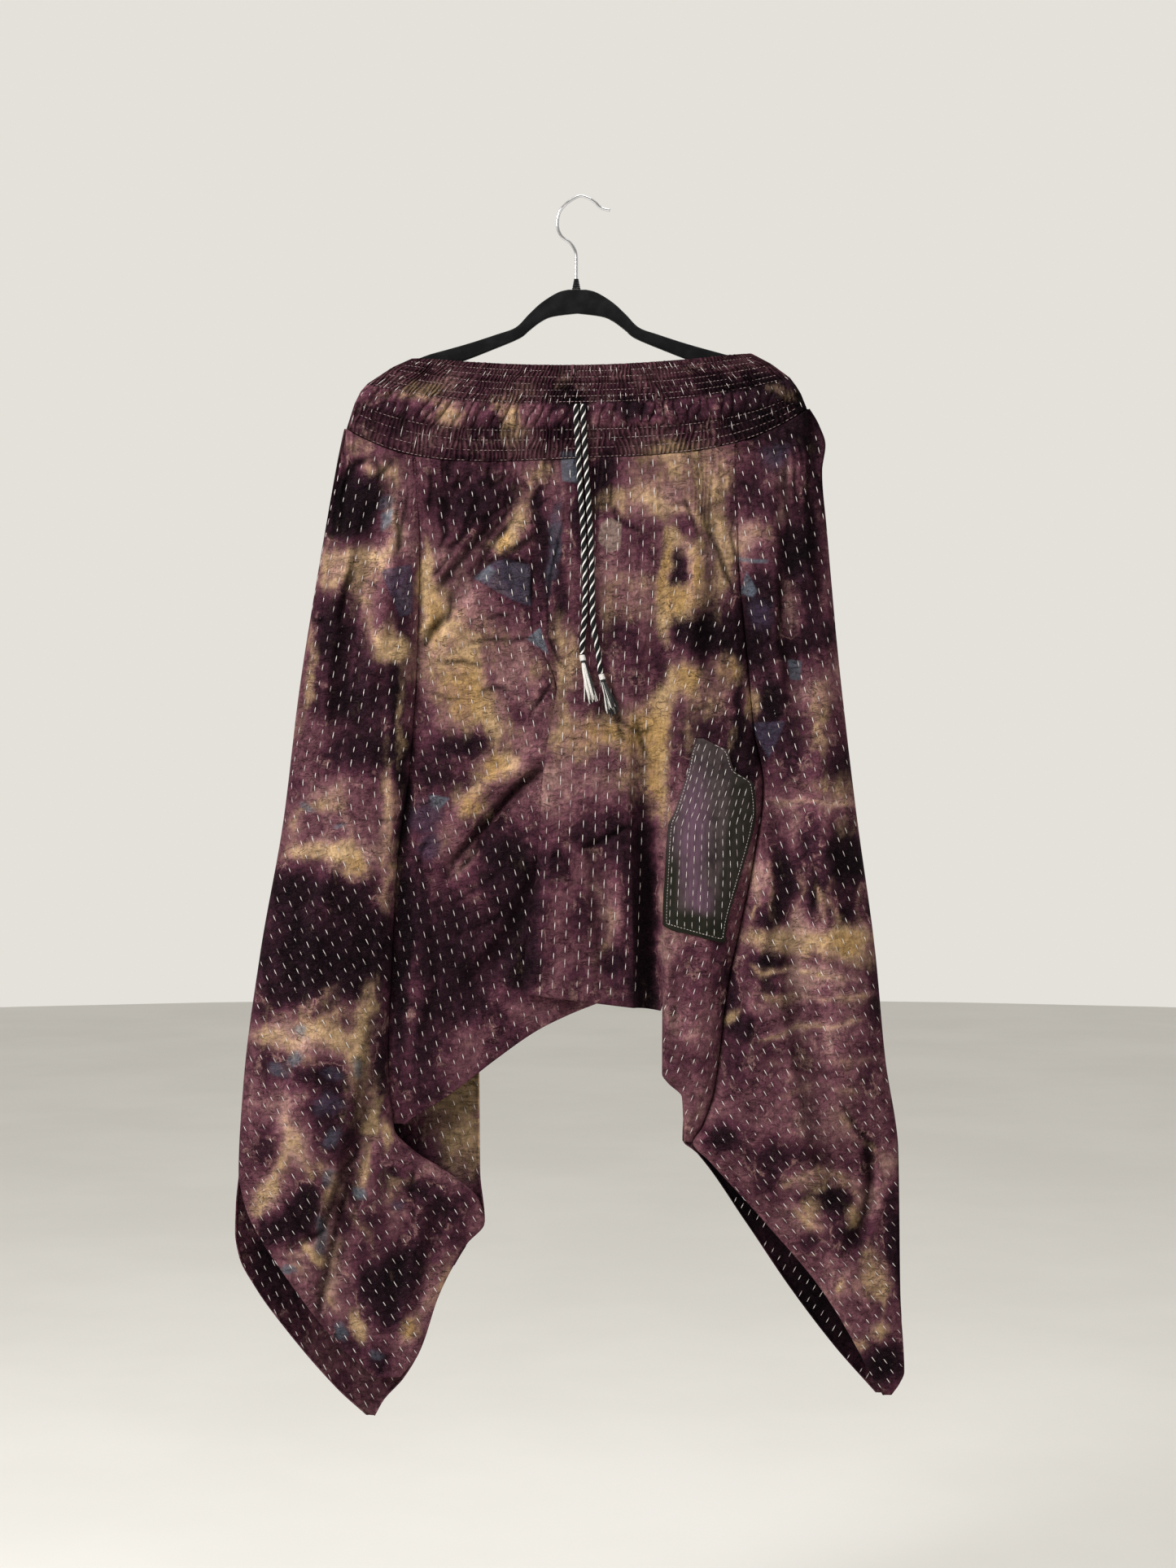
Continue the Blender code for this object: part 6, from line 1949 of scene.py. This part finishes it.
class PANTS_OT_stitches(bpy.types.Operator):
    """Add the running stitches of every panel, the waist and the patch"""
    bl_idname = "pants.stitches"
    bl_label = "Stitches"

    def execute(self, context):
        cloth = context.scene.pants_cloth
        width = cloth.stitch_width * 1000
        for seed, (panel, node, box) in enumerate(STITCHED):
            side = BACK if panel.endswith("back") else FRONT
            spots = row_spots(panel, box, cloth, 200 + seed, 1.0, 1.3 if panel == "pleat" else 1.0)
            if node == "centre_front":
                spots = [spot for spot in spots if on_own_part(panel, spot)]
            sew(panel + "_stitches", node, spots, side, width, seed, "quilting_thread",
                "kantha_cloth")
        for word, box in (("left", (-350, -95, -1228, -820)), ("right", (95, 328, -1205, -840))):
            spots = row_spots(word + "_leg_back", box, cloth, 240, 0.9)
            sew(word + "_hem_stitches", word + "_leg_back", spots, FRONT, 0.9 * width, 29,
                "quilting_thread", "kantha_cloth", cloth.wall * 1000 + 0.3,
                (word + "_leg_front", "centre_front"))
        for side, word in ((FRONT, "_front"), (BACK, "_back")):
            for band, node, first, last, seed in (("yoke", "yoke", 1.06, 4.9, 31),
                                                  ("casing", "waist_casing", 0.1, 0.98, 37)):
                sew(band + word + "_stitches", node + word, yoke_spots(side, first, last), side,
                    0.75 * width, seed, "quilting_thread", "yoke_cloth")
            for band, node, first, last, seed in (("yoke", "yoke", 1.0, 5.0, 41),
                                                  ("casing", "waist_casing", 0.0, 1.0, 43)):
                sew(band + word + "_seams", node + word, seam_spots(first, last), side, 0.55, seed,
                    "seam_thread", "yoke_cloth")
        for name, spots, thread, seed in (("patch_stitches", patch_spots(), 0.62, 47),
                                          ("patch_edge_stitches", edge_spots(), 0.5, 53)):
            sew(name, "patch", spots, FRONT, thread, seed, "quilting_thread", "patch_cloth")
        return {"FINISHED"}


class PANTS_OT_hanger(bpy.types.Operator):
    """Add the velvet hanger, its wire hook and the collar round the wire"""
    bl_idname = "pants.hanger"
    bl_label = "Hanger"

    def execute(self, context):
        velvet = finish_of("velvet_flock")
        rounding = context.scene.pants_hanger.rounding
        fit(self.body(rounding), "black_velvet", "hanger_body", velvet)
        route = resample([(x, 0, z) for x, z in HOOK_ROUTE], 1.1)
        wire = smooth_tube("hanger_hook_wire", route, HOOK_WIRE / 2, 16)
        fit(wire, "chrome_wire", "hanger_hook", finish_of("polished_wire"))
        fit(self.collar(), "black_velvet", "hanger_collar", velvet)
        return {"FINISHED"}

    def arm_end(self, row, side):
        """Point of the hanger's arm inside one end of the waist's row."""
        inset = (YOKE_WALL + SEAM_GAP + 0.3) * math.sqrt(0.5)
        x, z = row[:2] if side < 0 else row[3:5]
        return x - side * inset, z - inset

    def body(self, rounding):
        """The flat hanger, cut out along its outline and rounded at its edges."""
        outline = []
        for side in (-1, 1):
            top = smooth_route([(HANGER_CENTRE + side * x, z) for x, z in HANGER_NECK_TOP], 5)
            arm = smooth_route([self.arm_end(row, side) for row in WAIST_ROWS[1:4]], 3)
            under = smooth_route([(HANGER_CENTRE + side * x, z) for x, z in HANGER_UNDER], 4)
            half = [*top, *arm, *under[:-1]]
            outline += [*half, under[-1]] if side < 0 else half[::-1]
        bm = bmesh.new()
        corners = [bm.verts.new(Vector((x, -HANGER_THICKNESS / 2, z)) * MM) for x, z in outline]
        made = bmesh.ops.extrude_face_region(bm, geom=[bm.faces.new(corners)])["geom"]
        moved = [item for item in made if isinstance(item, bmesh.types.BMVert)]
        bmesh.ops.translate(bm, verts=moved, vec=Vector((0, HANGER_THICKNESS, 0)) * MM)
        bmesh.ops.recalc_face_normals(bm, faces=bm.faces)
        rim = [edge for edge in bm.edges if abs(edge.verts[0].co.y - edge.verts[1].co.y) < 1e-6]
        bmesh.ops.bevel(bm, geom=rim, offset=rounding, segments=4, profile=0.5,
                        material=-1, affect="EDGES")
        return mesh_of(bm, "hanger_body_velvet", 40)

    def collar(self):
        """The turned collar round the foot of the wire."""
        stem, foot = HOOK_ROUTE[0]
        inner = HOOK_WIRE / 2 + 0.2
        bm = bmesh.new()
        corners = [bm.verts.new(Vector((stem + radius, 0, foot + height)) * MM)
                   for radius, height in ((inner, 0), *COLLAR, (inner, 10.5))]
        edges = [bm.edges.new(pair) for pair in zip(corners, corners[1:] + corners[:1])]
        bmesh.ops.spin(bm, geom=corners + edges, cent=Vector((stem, 0, 0)) * MM, axis=(0, 0, 1),
                       angle=2 * math.pi, steps=28, use_merge=True)
        bmesh.ops.recalc_face_normals(bm, faces=bm.faces)
        return mesh_of(bm, "hanger_collar_ring", 50)


OPERATORS = (PANTS_OT_stage, PANTS_OT_drawstring, PANTS_OT_waist, PANTS_OT_panels,
             PANTS_OT_centre, PANTS_OT_patch, PANTS_OT_stitches, PANTS_OT_hanger)


class PANTS_PT_panel(bpy.types.Panel):
    """Steps and settings of the pants"""
    bl_label = "Harem pants"
    bl_space_type = "VIEW_3D"
    bl_region_type = "UI"
    bl_category = "Pants"

    def draw(self, context):
        for step in OPERATORS:
            self.layout.operator(step.bl_idname)
        for group in ("pants_dye", "pants_cloth", "pants_hanger"):
            settings = getattr(context.scene, group)
            box = self.layout.box()
            for name in settings.bl_rna.properties.keys():
                if name not in ("rna_type", "name"):
                    box.prop(settings, name)


CLASSES = (PantsDye, PantsCloth, PantsHanger) + OPERATORS + (PANTS_PT_panel,)


def register():
    for one in CLASSES:
        bpy.utils.register_class(one)
    bpy.types.Scene.pants_dye = PointerProperty(type=PantsDye)
    bpy.types.Scene.pants_cloth = PointerProperty(type=PantsCloth)
    bpy.types.Scene.pants_hanger = PointerProperty(type=PantsHanger)


def unregister():
    del bpy.types.Scene.pants_dye, bpy.types.Scene.pants_cloth, bpy.types.Scene.pants_hanger
    for one in reversed(CLASSES):
        bpy.utils.unregister_class(one)


def main():
    register()
    for step in OPERATORS:
        group, name = step.bl_idname.split(".")
        getattr(getattr(bpy.ops, group), name)()


if __name__ == "__main__":
    main()
